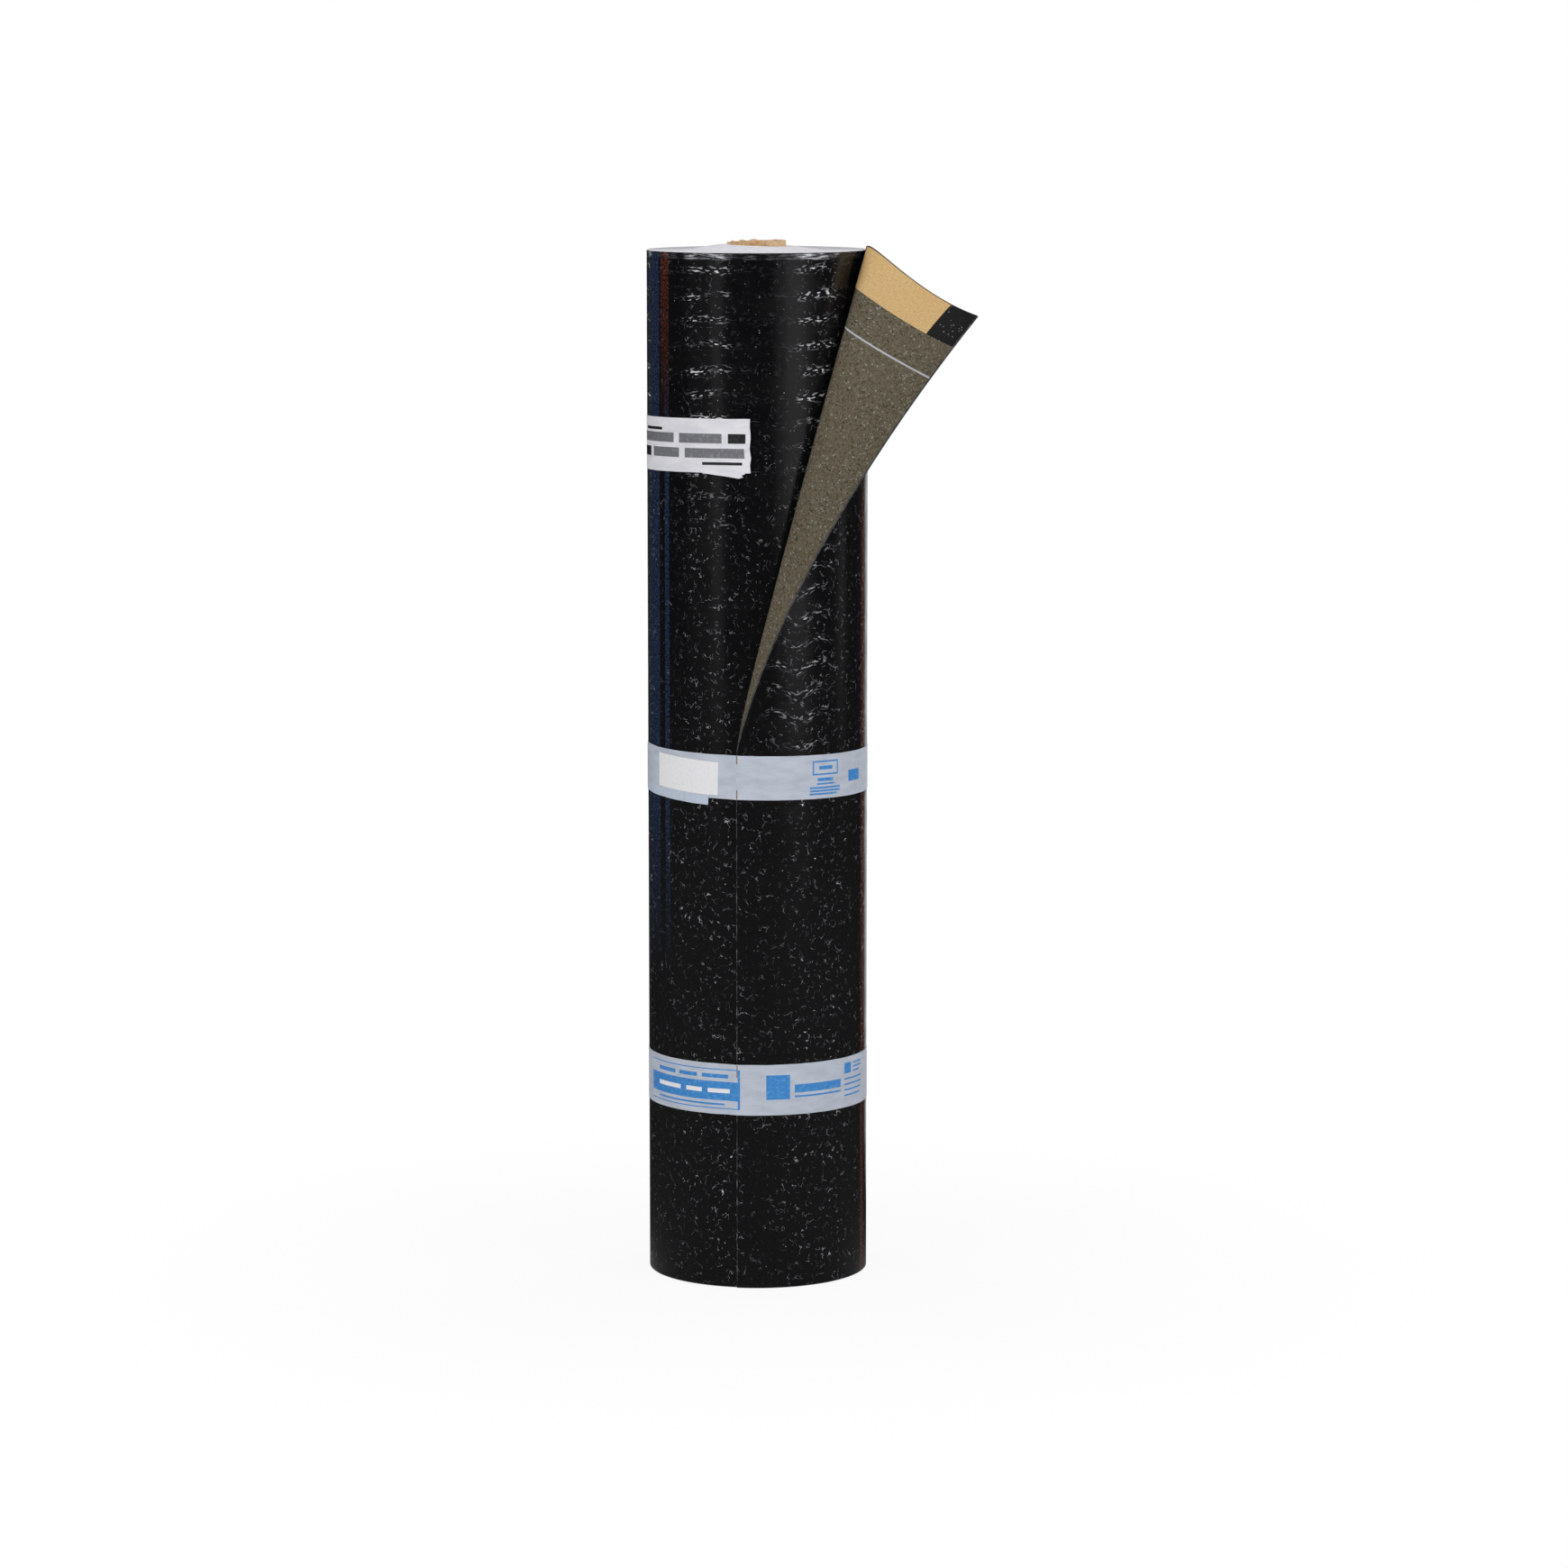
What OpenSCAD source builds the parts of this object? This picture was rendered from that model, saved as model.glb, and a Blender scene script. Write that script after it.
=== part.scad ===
// Roll of bituminous waterproofing membrane, standing on its end, with the outer lap's top corner peeled back.
// Lengths are in millimetres. The roll's axis is the Z axis and its lower end stands on z = 0.
// An azimuth is an angle about Z from the front, which is -Y, and grows to the right, towards +X.

/* [Sheet and roll] */
// Width of the sheet, which is the height of the standing roll
sheet_width = 1000; // [500:5:1100]
// Thickness of the sheet
sheet_thickness = 2.2; // [1.5:0.05:5]
// Air between one turn and the next
winding_gap = 0.07; // [0.03:0.01:0.3]
// Number of turns from the core to the outer lap
turns = 35; // [5:1:60]
// Azimuth of the sheet's free edge
free_edge_azimuth = -10.2; // [-60:0.1:60]

/* [Turns on the ends] */
// Width of the groove between two turns at the roll's ends
groove_width = 0.5; // [0.2:0.05:1]
// Depth of the groove between two turns
groove_depth = 0.8; // [0.2:0.05:2]

/* [Core tube] */
// Outside diameter of the cardboard tube
core_diameter = 57; // [40:0.5:110]
// Wall of the cardboard tube
core_wall = 3; // [1.5:0.1:8]
// Height of the tube's top end above the roll
core_rise = 9; // [0:0.5:30]
// Height of the tube's lower end above the floor
core_recess = 2; // [0.5:0.5:20]

/* [Peeled corner] */
// Height at which the lap's free edge starts to leave the roll
peel_height = 522; // [300:1:800]
// Azimuth at which the lap leaves the roll at the top end
peel_top_azimuth = 87.5; // [40:1:95]
// Azimuth at which the lap leaves the roll half way up the peeled height
peel_middle_azimuth = 29.4; // [10:1:45]
// Free corner of the sheet: distance to the right of the roll's side
corner_right = 101.5; // [20:0.5:150]
// Free corner of the sheet: distance in front of the roll's front
corner_front = 10.3; // [-40:0.5:90]
// Free corner of the sheet: distance below the roll's top end
corner_drop = 58.8; // [10:0.5:200]
// Curve of the free edge where it starts: handle to the right, to the front and up
edge_start_handle = [28.6, 43, 134.3];
// Curve of the free edge at the corner: handle to the left, to the front and down
edge_end_handle = [98.5, 44, 119];
// Length of the fold's first handle, as a share of the peeled width, at the start of the peel and its change up to the top
fold_handle = [0.4, 0.1];
// Rise of the fold's first handle, as a share of its length, at the start of the peel and its change up to the top
fold_lift = [0.01, 0.22];
// Length of the fold's second handle, as a share of the peeled width, at the start of the peel and its change up to the top
lie_handle = [0.37, 0.216];
// Turn of the flap towards the front at its free edge: at the start of the peel and its change up to the top
flap_turn = [40.7, 16];
// Share of the peeled height over which the fold opens
fold_opening = 0.021; // [0.015:0.001:0.2]

/* [Release film] */
// Width of the film strip along the sheet's top edge
film_width = 38; // [20:1:80]
// Thickness of the film strip
film_thickness = 0.3; // [0.1:0.05:0.6]
// Distance from the free edge to the film strip's end
film_set_back = 36.5; // [10:1:60]

/* [Tapes] */
// Thickness of each tape
tape_thickness = 0.3; // [0.15:0.05:0.8]
// Angle over which a tape slopes from the lap down to the turn below
tape_slope_angle = 5; // [2:0.5:12]
// Width of the tape near the top
label_tape_width = 51.5; // [25:0.5:90]
// Distance from the roll's top end down to that tape's middle line, at the front
label_tape_drop = 182.5; // [60:0.5:300]
// Azimuth of that tape's torn end
label_tape_end = -3; // [-9:0.5:20]
// Azimuth of that tape's other end, on the far right
label_tape_start = 104; // [96:1:160]
// Slant of that tape, as the rise of its front
label_tape_pitch = 1.5; // [-4:0.1:4]
// Width of the middle tape
middle_tape_width = 42.5; // [20:0.5:80]
// Distance from where the free edge starts to leave the roll down to the middle tape's top edge, at the front
middle_tape_margin = 1.25; // [0.75:0.25:60]
// Slant of the middle tape, as the drop of its right side
middle_tape_roll = 0.9; // [-4:0.1:4]
// Azimuth of the end of the middle tape's overlapping tail
tail_azimuth = -23.2; // [-60:0.1:-16]
// Drop of the tail's middle line below that of the tape
tail_drop = 6.5; // [0:0.5:15]
// Slope of the tail down towards its end
tail_slope = 3; // [-10:0.1:10]
// Skew of the cut across the tail's end
tail_skew = 14; // [-30:1:30]
// Width of the tape near the bottom
bottom_tape_width = 49.5; // [20:0.5:90]
// Height of the bottom tape's middle line at the front
bottom_tape_height = 195.5; // [60:0.5:300]
// Slant of the bottom tape, as the rise of its front
bottom_tape_pitch = 0.4; // [-4:0.1:4]

/* [Hidden] */
$fn = 96;
// How far one solid reaches into or past another so that a boolean is clean
past = 2;
// How far the flap's faces lie inside the lap's faces where the two join
tuck = 0.35;
// Air between the flap's rims and the planes that they lie on, and between the flap and its release film
rim_gap = 0.1;
// Rows and columns of the flap's mesh, and the rows that its release film takes
flap_rows = 28;
film_rows = 4;
flap_columns = 24;
// How closely the rows stand near the start of the peel, where the fold is small
row_crowding = 1.2;
// Samples that measure the length of one line of the flap
line_samples = 24;

pitch = sheet_thickness + winding_gap;
core_r = core_diameter / 2;
bore_r = core_r - core_wall;
roll_r = core_r + turns * pitch;
under_lap_r = roll_r - pitch;
mid_r = roll_r - pitch / 2;
// Turn of the frame that the wound sheet is made in: its two halves meet on that frame's X axis, a little before the free edge
seam_lead = 25;
seam_turn = free_edge_azimuth - 90 - seam_lead;
label_tape_height = sheet_width - label_tape_drop;
middle_tape_height = peel_height - middle_tape_margin - middle_tape_width / 2;

// Point on a circle about the axis at an azimuth
function at_azimuth(r, azimuth, z) = [r * sin(azimuth), -r * cos(azimuth), z];
function unit(v) = v / norm(v);
function bezier(c, t) = pow(1 - t, 3) * c[0] + 3 * pow(1 - t, 2) * t * c[1] + 3 * (1 - t) * t * t * c[2] + pow(t, 3) * c[3];
function bezier_way(c, t) = pow(1 - t, 2) * (c[1] - c[0]) + 2 * (1 - t) * t * (c[2] - c[1]) + t * t * (c[3] - c[2]);

// The plane that the peeled lap leaves the roll along, as its rise towards +X and +Y, from its two stated azimuths
peel_start = at_azimuth(mid_r, free_edge_azimuth, peel_height);
peel_rise = sheet_width - peel_height;
to_top = at_azimuth(mid_r, peel_top_azimuth, 0) - at_azimuth(mid_r, free_edge_azimuth, 0);
to_middle = at_azimuth(mid_r, peel_middle_azimuth, 0) - at_azimuth(mid_r, free_edge_azimuth, 0);
peel_det = to_top.x * to_middle.y - to_middle.x * to_top.y;
rise_x = peel_rise * (to_middle.y - to_top.y / 2) / peel_det;
rise_y = peel_rise * (to_top.x / 2 - to_middle.x) / peel_det;
rise = norm([rise_x, rise_y]);

// Azimuth at which the lap leaves the roll for a share t of the peeled height
function peel_azimuth(t) =
    asin(min(1, (t * peel_rise + rise_x * peel_start.x + rise_y * peel_start.y) / (rise * mid_r)))
    - atan2(-rise_y, rise_x);

// The free edge of the flap
corner = [roll_r + corner_right, -roll_r - corner_front, sheet_width - corner_drop];
edge_curve = [
    peel_start,
    peel_start + [edge_start_handle.x, -edge_start_handle.y, edge_start_handle.z],
    corner - [edge_end_handle.x, edge_end_handle.y, edge_end_handle.z],
    corner
];

// Width of the sheet that has left the roll at a share t of the peeled height
function peeled_width(t) = mid_r * (peel_azimuth(t) - free_edge_azimuth) * PI / 180;

// One line of the flap, from the roll to the free edge, as a cubic curve
function flap_line(t) =
    let (
        leave = at_azimuth(mid_r, peel_azimuth(t), peel_height + t * peel_rise),
        heading = [-cos(peel_azimuth(t)), -sin(peel_azimuth(t)), fold_lift[0] + fold_lift[1] * t],
        along = unit(bezier_way(edge_curve, t)),
        front = unit([0, -1, 0] + along.y * along),
        right = cross(along, front),
        turn = flap_turn[0] + flap_turn[1] * t + (180 - flap_turn[0]) * exp(-t / fold_opening),
        finish = cos(turn) * right + sin(turn) * front,
        width = peeled_width(t),
        edge = bezier(edge_curve, t)
    )
    [
        leave,
        leave + width * (fold_handle[0] + fold_handle[1] * t) * heading,
        edge - width * (lie_handle[0] + lie_handle[1] * t) * finish,
        edge
    ];

// Lengths along a line at even steps of its parameter, as a table from share of length to parameter
function running(steps, i = 0, so_far = 0) =
    i > len(steps) ? [] : concat([so_far], running(steps, i + 1, so_far + (i < len(steps) ? steps[i] : 0)));
function length_table(line) =
    let (
        points = [for (i = [0:line_samples]) bezier(line, i / line_samples)],
        sums = running([for (i = [1:line_samples]) norm(points[i] - points[i - 1])]),
        whole = sums[line_samples]
    )
    [for (i = [0:line_samples]) [sums[i] / whole, i / line_samples]];

// Share of a line at column j: the film's set-back falls on a column where the flap is wide enough
film_column = flap_columns - 5;
film_first_column = 4;
function column_share(t, j) =
    let (knee = max(1 - film_set_back / peeled_width(t), 0.6))
    j <= film_column ? knee * j / film_column : knee + (1 - knee) * (j - film_column) / (flap_columns - film_column);

film_t = 1 - film_width / peel_rise;
first_t = 0.02;
row_shares = concat(
    [for (i = [0:flap_rows]) first_t + (film_t - first_t) * pow(i / flap_rows, row_crowding)],
    [for (i = [1:film_rows]) film_t + (1 - rim_gap / peel_rise - film_t) * i / film_rows]
);
last_row = len(row_shares) - 1;

// Points of one row of the flap's middle surface
function row_points(t) =
    let (line = flap_line(t), table = length_table(line))
    [for (j = [0:flap_columns]) bezier(line, lookup(column_share(t, j), table))];
middle_rows = [for (t = row_shares) row_points(t)];

// Outward direction of the sheet, towards its film face, by the neighbours of each point
function outward(rows, i, j) =
    let (
        up = rows[min(i + 1, len(rows) - 1)][j] - rows[max(i - 1, 0)][j],
        across = rows[i][max(j - 1, 0)] - rows[i][min(j + 1, flap_columns)]
    )
    unit(cross(across, up));
flap_normals = [for (i = [0:last_row]) [for (j = [0:flap_columns]) outward(middle_rows, i, j)]];

// Half of the flap's thickness at row i and column j: it grows from the root, which lies inside the lap, to the full
// sheet, and is thin where the fold is too tight for the sheet's own thickness
root_half = pitch / 2 - tuck;
full_column = 4;
full_width = 22;
foot_half = 0.15;
function opened(t) = min(1, peeled_width(t) / full_width);
function half_at(i, j) =
    (root_half + (sheet_thickness / 2 - root_half) * min(1, j / full_column)) * opened(row_shares[i]);
function offset_row(i, side, extra = 0) =
    [for (j = [0:flap_columns]) middle_rows[i][j] + side * (half_at(i, j) + extra) * flap_normals[i][j]];

// The flap's root is carried on inside the lap, round the roll past the line where it leaves
root_reach = 4;
function root_point(i, side) =
    let (t = row_shares[i])
    at_azimuth(mid_r + side * root_half * opened(t), peel_azimuth(t) + root_reach / mid_r * 180 / PI, peel_height + t * peel_rise);
function flap_row(i, side) = concat([root_point(i, side)], offset_row(i, side));

// Its foot runs inside the lap just below the plane where the lap ends, from the root to the free edge
foot_inset = 1;
function plane_height(point) = peel_height + rise_x * (point.x - peel_start.x) + rise_y * (point.y - peel_start.y);
function foot_row(side) =
    [for (j = [0:flap_columns + 1])
        let (
            run = peeled_width(first_t) + root_reach,
            azimuth = free_edge_azimuth + (tuck + (run - tuck) * (1 - j / (flap_columns + 1))) / mid_r * 180 / PI,
            height = min(plane_height(at_azimuth(mid_r, azimuth, 0)), peel_height + first_t * peel_rise)
        )
        at_azimuth(mid_r + side * foot_half, azimuth, height - foot_inset)
    ];

// A closed solid between two grids of points with the same rows and columns
module plate(outer, inner) {
    rows = len(outer);
    columns = len(outer[0]);
    count = rows * columns;
    function at(side, i, j) = side * count + i * columns + j;
    skin = [
        for (i = [0:rows - 2]) for (j = [0:columns - 2]) each [
            [at(1, i, j), at(1, i + 1, j), at(1, i + 1, j + 1)],
            [at(1, i, j), at(1, i + 1, j + 1), at(1, i, j + 1)],
            [at(0, i, j), at(0, i + 1, j + 1), at(0, i + 1, j)],
            [at(0, i, j), at(0, i, j + 1), at(0, i + 1, j + 1)]
        ]
    ];
    rims = concat(
        [for (i = [0:rows - 2]) each [
            [at(1, i, 0), at(0, i, 0), at(0, i + 1, 0)],
            [at(1, i, 0), at(0, i + 1, 0), at(1, i + 1, 0)],
            [at(1, i, columns - 1), at(0, i + 1, columns - 1), at(0, i, columns - 1)],
            [at(1, i, columns - 1), at(1, i + 1, columns - 1), at(0, i + 1, columns - 1)]
        ]],
        [for (j = [0:columns - 2]) each [
            [at(1, 0, j), at(0, 0, j + 1), at(0, 0, j)],
            [at(1, 0, j), at(1, 0, j + 1), at(0, 0, j + 1)],
            [at(1, rows - 1, j), at(0, rows - 1, j), at(0, rows - 1, j + 1)],
            [at(1, rows - 1, j), at(0, rows - 1, j + 1), at(1, rows - 1, j + 1)]
        ]]
    );
    polyhedron(
        points = concat([for (row = outer) each row], [for (row = inner) each row]),
        faces = concat(skin, rims)
    );
}

// Part of the wound sheet in section, from one radius to another: solid, with a groove between each two turns at both ends
module turns_profile(from, to, first_groove, shift) {
    difference() {
        translate([from, 0]) square([to - from, sheet_width]);
        for (k = [first_groove:turns - 1]) translate([core_r + k * pitch - shift - groove_width / 2, 0]) {
            translate([0, -past]) square([groove_width, past + groove_depth]);
            translate([0, sheet_width - groove_depth]) square([groove_width, past + groove_depth]);
        }
    }
}

// The half of the roll under the outer lap
module under_lap_half() rotate_extrude(angle = 180) turns_profile(core_r - past, under_lap_r, 1, 0);
// The other half, whose centre is moved so that each turn runs on into the next. Its first groove would run out at the core.
module inner_half() {
    translate([-pitch / 2, 0, 0]) rotate([0, 0, 180])
        rotate_extrude(angle = 180) turns_profile(core_r - past - pitch / 2, roll_r - pitch / 2, 2, pitch / 2);
}

// A sector that starts before the seam and ends at an angle past the free edge
module sector(inner_r, outer_r, past_edge) {
    rotate([0, 0, -seam_lead]) rotate_extrude(angle = 2 * seam_lead + past_edge)
        translate([inner_r, -past]) square([outer_r - inner_r, sheet_width + 2 * past]);
}

// What the peeled corner has left: the space above the plane where the lap leaves the roll
module peeled_away() {
    translate(peel_start)
        rotate([0, atan(rise), atan2(-rise_y, -rise_x)])
            translate([-2 * sheet_width, -2 * sheet_width, 0])
                cube([4 * sheet_width, 4 * sheet_width, sheet_width]);
}

// The outer lap from the free edge on, sunk into the turn below so that the two are one
module lap() {
    difference() {
        rotate_extrude(angle = 180) turns_profile(under_lap_r - past, roll_r, turns - 1, 0);
        sector(under_lap_r - 2 * past, roll_r + past, 0);
        rotate([0, 0, -seam_turn]) peeled_away();
    }
}

module flap() {
    plate(
        concat([foot_row(1)], [for (i = [0:last_row]) flap_row(i, 1)]),
        concat([foot_row(-1)], [for (i = [0:last_row]) flap_row(i, -1)])
    );
}

// The sheet that is still wound
module wound_sheet() {
    rotate([0, 0, seam_turn]) difference() {
        union() {
            under_lap_half();
            inner_half();
            lap();
        }
        translate([0, 0, -past]) cylinder(r = core_r, h = sheet_width + 2 * past);
    }
}

module membrane() {
    color("#171719") union() {
        wound_sheet();
        flap();
    }
}

module core_tube() {
    color("#c9a06a") difference() {
        translate([0, 0, core_recess]) cylinder(r = core_r, h = sheet_width + core_rise - core_recess);
        translate([0, 0, core_recess - past]) cylinder(r = bore_r, h = sheet_width + core_rise - core_recess + 2 * past);
    }
}

module release_film() {
    rows = [for (i = [flap_rows:last_row]) i];
    color("#cdaa76") plate(
        [for (i = rows) [for (j = [film_first_column:film_column]) offset_row(i, -1)[j]]],
        [for (i = rows) [for (j = [film_first_column:film_column]) offset_row(i, -1, film_thickness)[j]]]
    );
}

// Layers round the whole roll, from the floor to its top, whose inside lies on the sheet. In the seam's frame.
module layer_on_lap() {
    difference() {
        rotate_extrude(angle = 180) translate([roll_r, 0]) square([tape_thickness, sheet_width]);
        sector(under_lap_r, roll_r + past, 0);
    }
}
module layer_on_inner_half(thickness) {
    translate([-pitch / 2, 0, 0]) rotate([0, 0, 180])
        rotate_extrude(angle = 180) translate([roll_r - pitch / 2, 0]) square([thickness, sheet_width]);
}
module layer_under_lap(past_edge, thickness) {
    intersection() {
        rotate_extrude(angle = 180) translate([under_lap_r, 0]) square([thickness, sheet_width]);
        sector(under_lap_r - past, roll_r + past, past_edge);
    }
}
// It reaches into the layers at both of its ends, just clear of their faces
tape_seat = 0.05;
seat_angle = 0.5;
module layer_over_free_edge() {
    low = tape_seat;
    high = tape_thickness - tape_seat;
    function at_turn(r, angle) = r * [cos(seam_lead + angle), sin(seam_lead + angle)];
    linear_extrude(sheet_width) polygon([
        at_turn(roll_r + low, seat_angle),
        at_turn(roll_r + high, seat_angle),
        at_turn(roll_r + high, 0),
        at_turn(under_lap_r + high, -tape_slope_angle),
        at_turn(under_lap_r + high, -tape_slope_angle - seat_angle),
        at_turn(under_lap_r + low, -tape_slope_angle - seat_angle),
        at_turn(under_lap_r + low, -tape_slope_angle),
        at_turn(roll_r + low, 0)
    ]);
}
module closed_layer() {
    rotate([0, 0, seam_turn]) {
        layer_on_lap();
        layer_on_inner_half(tape_thickness);
        layer_under_lap(-tape_slope_angle, tape_thickness);
        layer_over_free_edge();
    }
}

// The level that a tape takes out of a layer, slanted by its pitch and roll
module level(height, width, pitch_angle, roll_angle) {
    translate([0, -roll_r, height]) rotate([-pitch_angle, roll_angle, 0])
        translate([-2 * roll_r, -roll_r, -width / 2]) cube([4 * roll_r, 4 * roll_r, width]);
}

// Outline of the torn end in the front view: what is right of it is torn off
module torn_off() {
    end_x = under_lap_r * sin(label_tape_end);
    low = label_tape_height - label_tape_width;
    steps = [[-2.4, 0], [-0.6, 0.42], [-1.8, 0.55], [0.4, 0.7], [-0.5, 0.82], [0.9, 0.95], [0.2, 1.12], [-1.1, 1.3], [0.3, 1.6]];
    rotate([90, 0, 0]) linear_extrude(2 * roll_r) polygon(concat(
        [for (s = steps) [end_x + s.x, low + s.y * label_tape_width]],
        [[3 * roll_r, low + 1.6 * label_tape_width], [3 * roll_r, low]]
    ));
}

module label_tape() {
    color("#e6e6ee") difference() {
        intersection() {
            rotate([0, 0, seam_turn]) {
                difference() {
                    layer_on_lap();
                    sector(under_lap_r, roll_r + past, label_tape_start - free_edge_azimuth);
                }
                layer_on_inner_half(tape_thickness);
                layer_under_lap(label_tape_end - free_edge_azimuth + past, tape_thickness);
            }
            level(label_tape_height, label_tape_width, label_tape_pitch, 0);
        }
        torn_off();
    }
}

// The tail's outline, laid flat and put through the roll along the azimuth of its end
module tail_outline() {
    reach = roll_r + past;
    half = middle_tape_width / 2;
    rotate([0, 0, tail_azimuth]) translate([0, 0, middle_tape_height - tail_drop]) rotate([90, 0, 0])
        linear_extrude(2 * roll_r) polygon([
            [-reach, reach * tan(tail_slope) - half],
            [-half * tan(tail_skew), -half],
            [half * tan(tail_skew), half],
            [-reach, reach * tan(tail_slope) + half]
        ]);
}

module middle_tape() {
    color("#c4c8d2") {
        intersection() {
            closed_layer();
            level(middle_tape_height, middle_tape_width, 0, middle_tape_roll);
        }
        intersection() {
            rotate([0, 0, seam_turn]) {
                layer_on_inner_half(2 * tape_thickness);
                layer_under_lap(-tape_slope_angle, 2 * tape_thickness);
            }
            tail_outline();
        }
    }
}

module bottom_tape() {
    color("#c4c8d2") intersection() {
        closed_layer();
        level(bottom_tape_height, bottom_tape_width, bottom_tape_pitch, 0);
    }
}

membrane();
core_tube();
release_film();
label_tape();
middle_tape();
bottom_tape();
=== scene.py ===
"""A standing roll of bituminous waterproofing membrane with the top corner of its outer lap peeled back.

Sizes are in millimetres and angles in degrees until a piece is finished, and in metres after that.
The sheet's run is the angle that it has wound, inwards from its free edge, in a frame whose X axis lies on the seam
where the two half-turn centres meet. An azimuth is an angle about Z from the front, -Y, to the right, +X.
"""

import logging
import math
from dataclasses import dataclass, field
from enum import Enum
from functools import partial
from typing import Any, Callable, Iterable, NamedTuple

import bmesh
import bpy
from mathutils import Matrix, Vector, noise


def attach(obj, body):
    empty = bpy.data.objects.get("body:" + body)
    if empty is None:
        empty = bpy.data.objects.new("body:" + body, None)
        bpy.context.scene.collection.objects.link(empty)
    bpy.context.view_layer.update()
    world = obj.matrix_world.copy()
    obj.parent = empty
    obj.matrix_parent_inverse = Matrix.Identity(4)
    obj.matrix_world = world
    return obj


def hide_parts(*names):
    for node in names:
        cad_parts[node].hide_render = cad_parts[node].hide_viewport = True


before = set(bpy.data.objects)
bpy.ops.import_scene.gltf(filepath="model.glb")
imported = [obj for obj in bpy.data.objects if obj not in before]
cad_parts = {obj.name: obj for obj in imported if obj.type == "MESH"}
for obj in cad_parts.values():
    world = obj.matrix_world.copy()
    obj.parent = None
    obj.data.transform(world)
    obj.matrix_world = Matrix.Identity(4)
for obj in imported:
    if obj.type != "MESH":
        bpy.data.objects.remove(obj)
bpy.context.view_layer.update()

LOG = logging.getLogger("membrane_roll")
METRE = 0.001
# A Mix node's colour output and type, and a Map Range that eases in and out.
RGBA = {"output": 2, "data_type": "RGBA"}
SOFT = {"interpolation_type": "SMOOTHSTEP"}

Socket = bpy.types.NodeSocket
Vert = bmesh.types.BMVert
AddNode = Callable[..., Socket]
UV_NAME = "sheet"
STRETCHED = "stretched"
WHITE = (1.0, 1.0, 1.0, 1.0)


# ---------------------------------------------------------------------------------------------- materials


def linear(hex_colour: str) -> tuple[float, float, float, float]:
    """Turns an sRGB hex colour into linear light.

    Args:
        hex_colour: Six hex digits after a hash sign.

    Returns:
        Red, green, blue and alpha.
    """
    channels = [int(hex_colour[i : i + 2], 16) / 255 for i in (1, 3, 5)]
    return (*(c / 12.92 if c <= 0.04045 else ((c + 0.055) / 1.055) ** 2.4 for c in channels), 1.0)


def add_node(
    tree: bpy.types.NodeTree,
    kind: str,
    inputs: tuple | dict | None = None,
    output: int | str = 0,
    **settings: Any,
) -> Socket:
    """Adds a shader node with its settings and links.

    Args:
        tree: The node tree that gets the node.
        kind: The node's type name without its ShaderNode prefix.
        inputs: Sockets or values, in the order of the node's inputs or by their names; None leaves one as it is.
        output: The output that is returned.
        **settings: The node's own properties.

    Returns:
        One of the node's output sockets.
    """
    node = tree.nodes.new(f"ShaderNode{kind}")
    for name, value in settings.items():
        setattr(node, name, value)
    for key, value in (inputs if isinstance(inputs, dict) else dict(enumerate(inputs or ()))).items():
        if isinstance(value, Socket):
            tree.links.new(value, node.inputs[key])
        elif value is not None:
            node.inputs[key].default_value = value
    return node.outputs[output] if node.outputs else None


def paint(owner: bpy.types.Material | bpy.types.World, output: str, draw: Callable[[AddNode], Socket]) -> None:
    """Gives a material or the world a fresh node tree.

    Args:
        owner: The material or the world.
        output: The type name of its output node.
        draw: Draws its shader with the function that adds a node.
    """
    owner.use_nodes = True
    owner.node_tree.nodes.clear()
    add = partial(add_node, owner.node_tree)
    add(output, {"Surface": draw(add)})


def material(name: str, draw: Callable[[AddNode], Socket]) -> bpy.types.Material:
    """Makes a material, or finds it where a piece has asked for it before.

    Args:
        name: Its name.
        draw: Draws its shader.

    Returns:
        The material.
    """
    made = bpy.data.materials.get(name)
    if made is None:
        made = bpy.data.materials.new(name)
        paint(made, "OutputMaterial", draw)
    return made


class Finish:
    """A surface finish. Each kind draws itself into a material once, and every piece that has it shares it."""

    name: str

    def draw(self, add: AddNode) -> Socket:
        """Draws the finish and returns its shader."""
        raise NotImplementedError

    @staticmethod
    def surface(
        add: AddNode, colour: Socket, relief: tuple[Socket, float, float], shader: dict[str, Any], sunk: bool = False
    ) -> Socket:
        """Closes a finish with its shader.

        Args:
            add: Adds a node to the material.
            colour: The colour.
            relief: Its height, how strongly that shows and how deep it is in metres.
            shader: The shader's other inputs by their names.
            sunk: Whether the height counts downwards.

        Returns:
            The shader.
        """
        height, strength, depth = relief
        bump = add("Bump", {"Strength": strength, "Distance": depth, "Height": height}, invert=sunk)
        return add("BsdfPrincipled", {"Base Color": colour, **shader, "Normal": bump})


class FilmPlace(NamedTuple):
    """Where on the film: length and height on the sheet, as a vector and each alone, and from -1 to 1 on a highlight
    fold.
    """

    place: Socket
    u: Socket
    v: Socket
    highlight_fold: Socket


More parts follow.
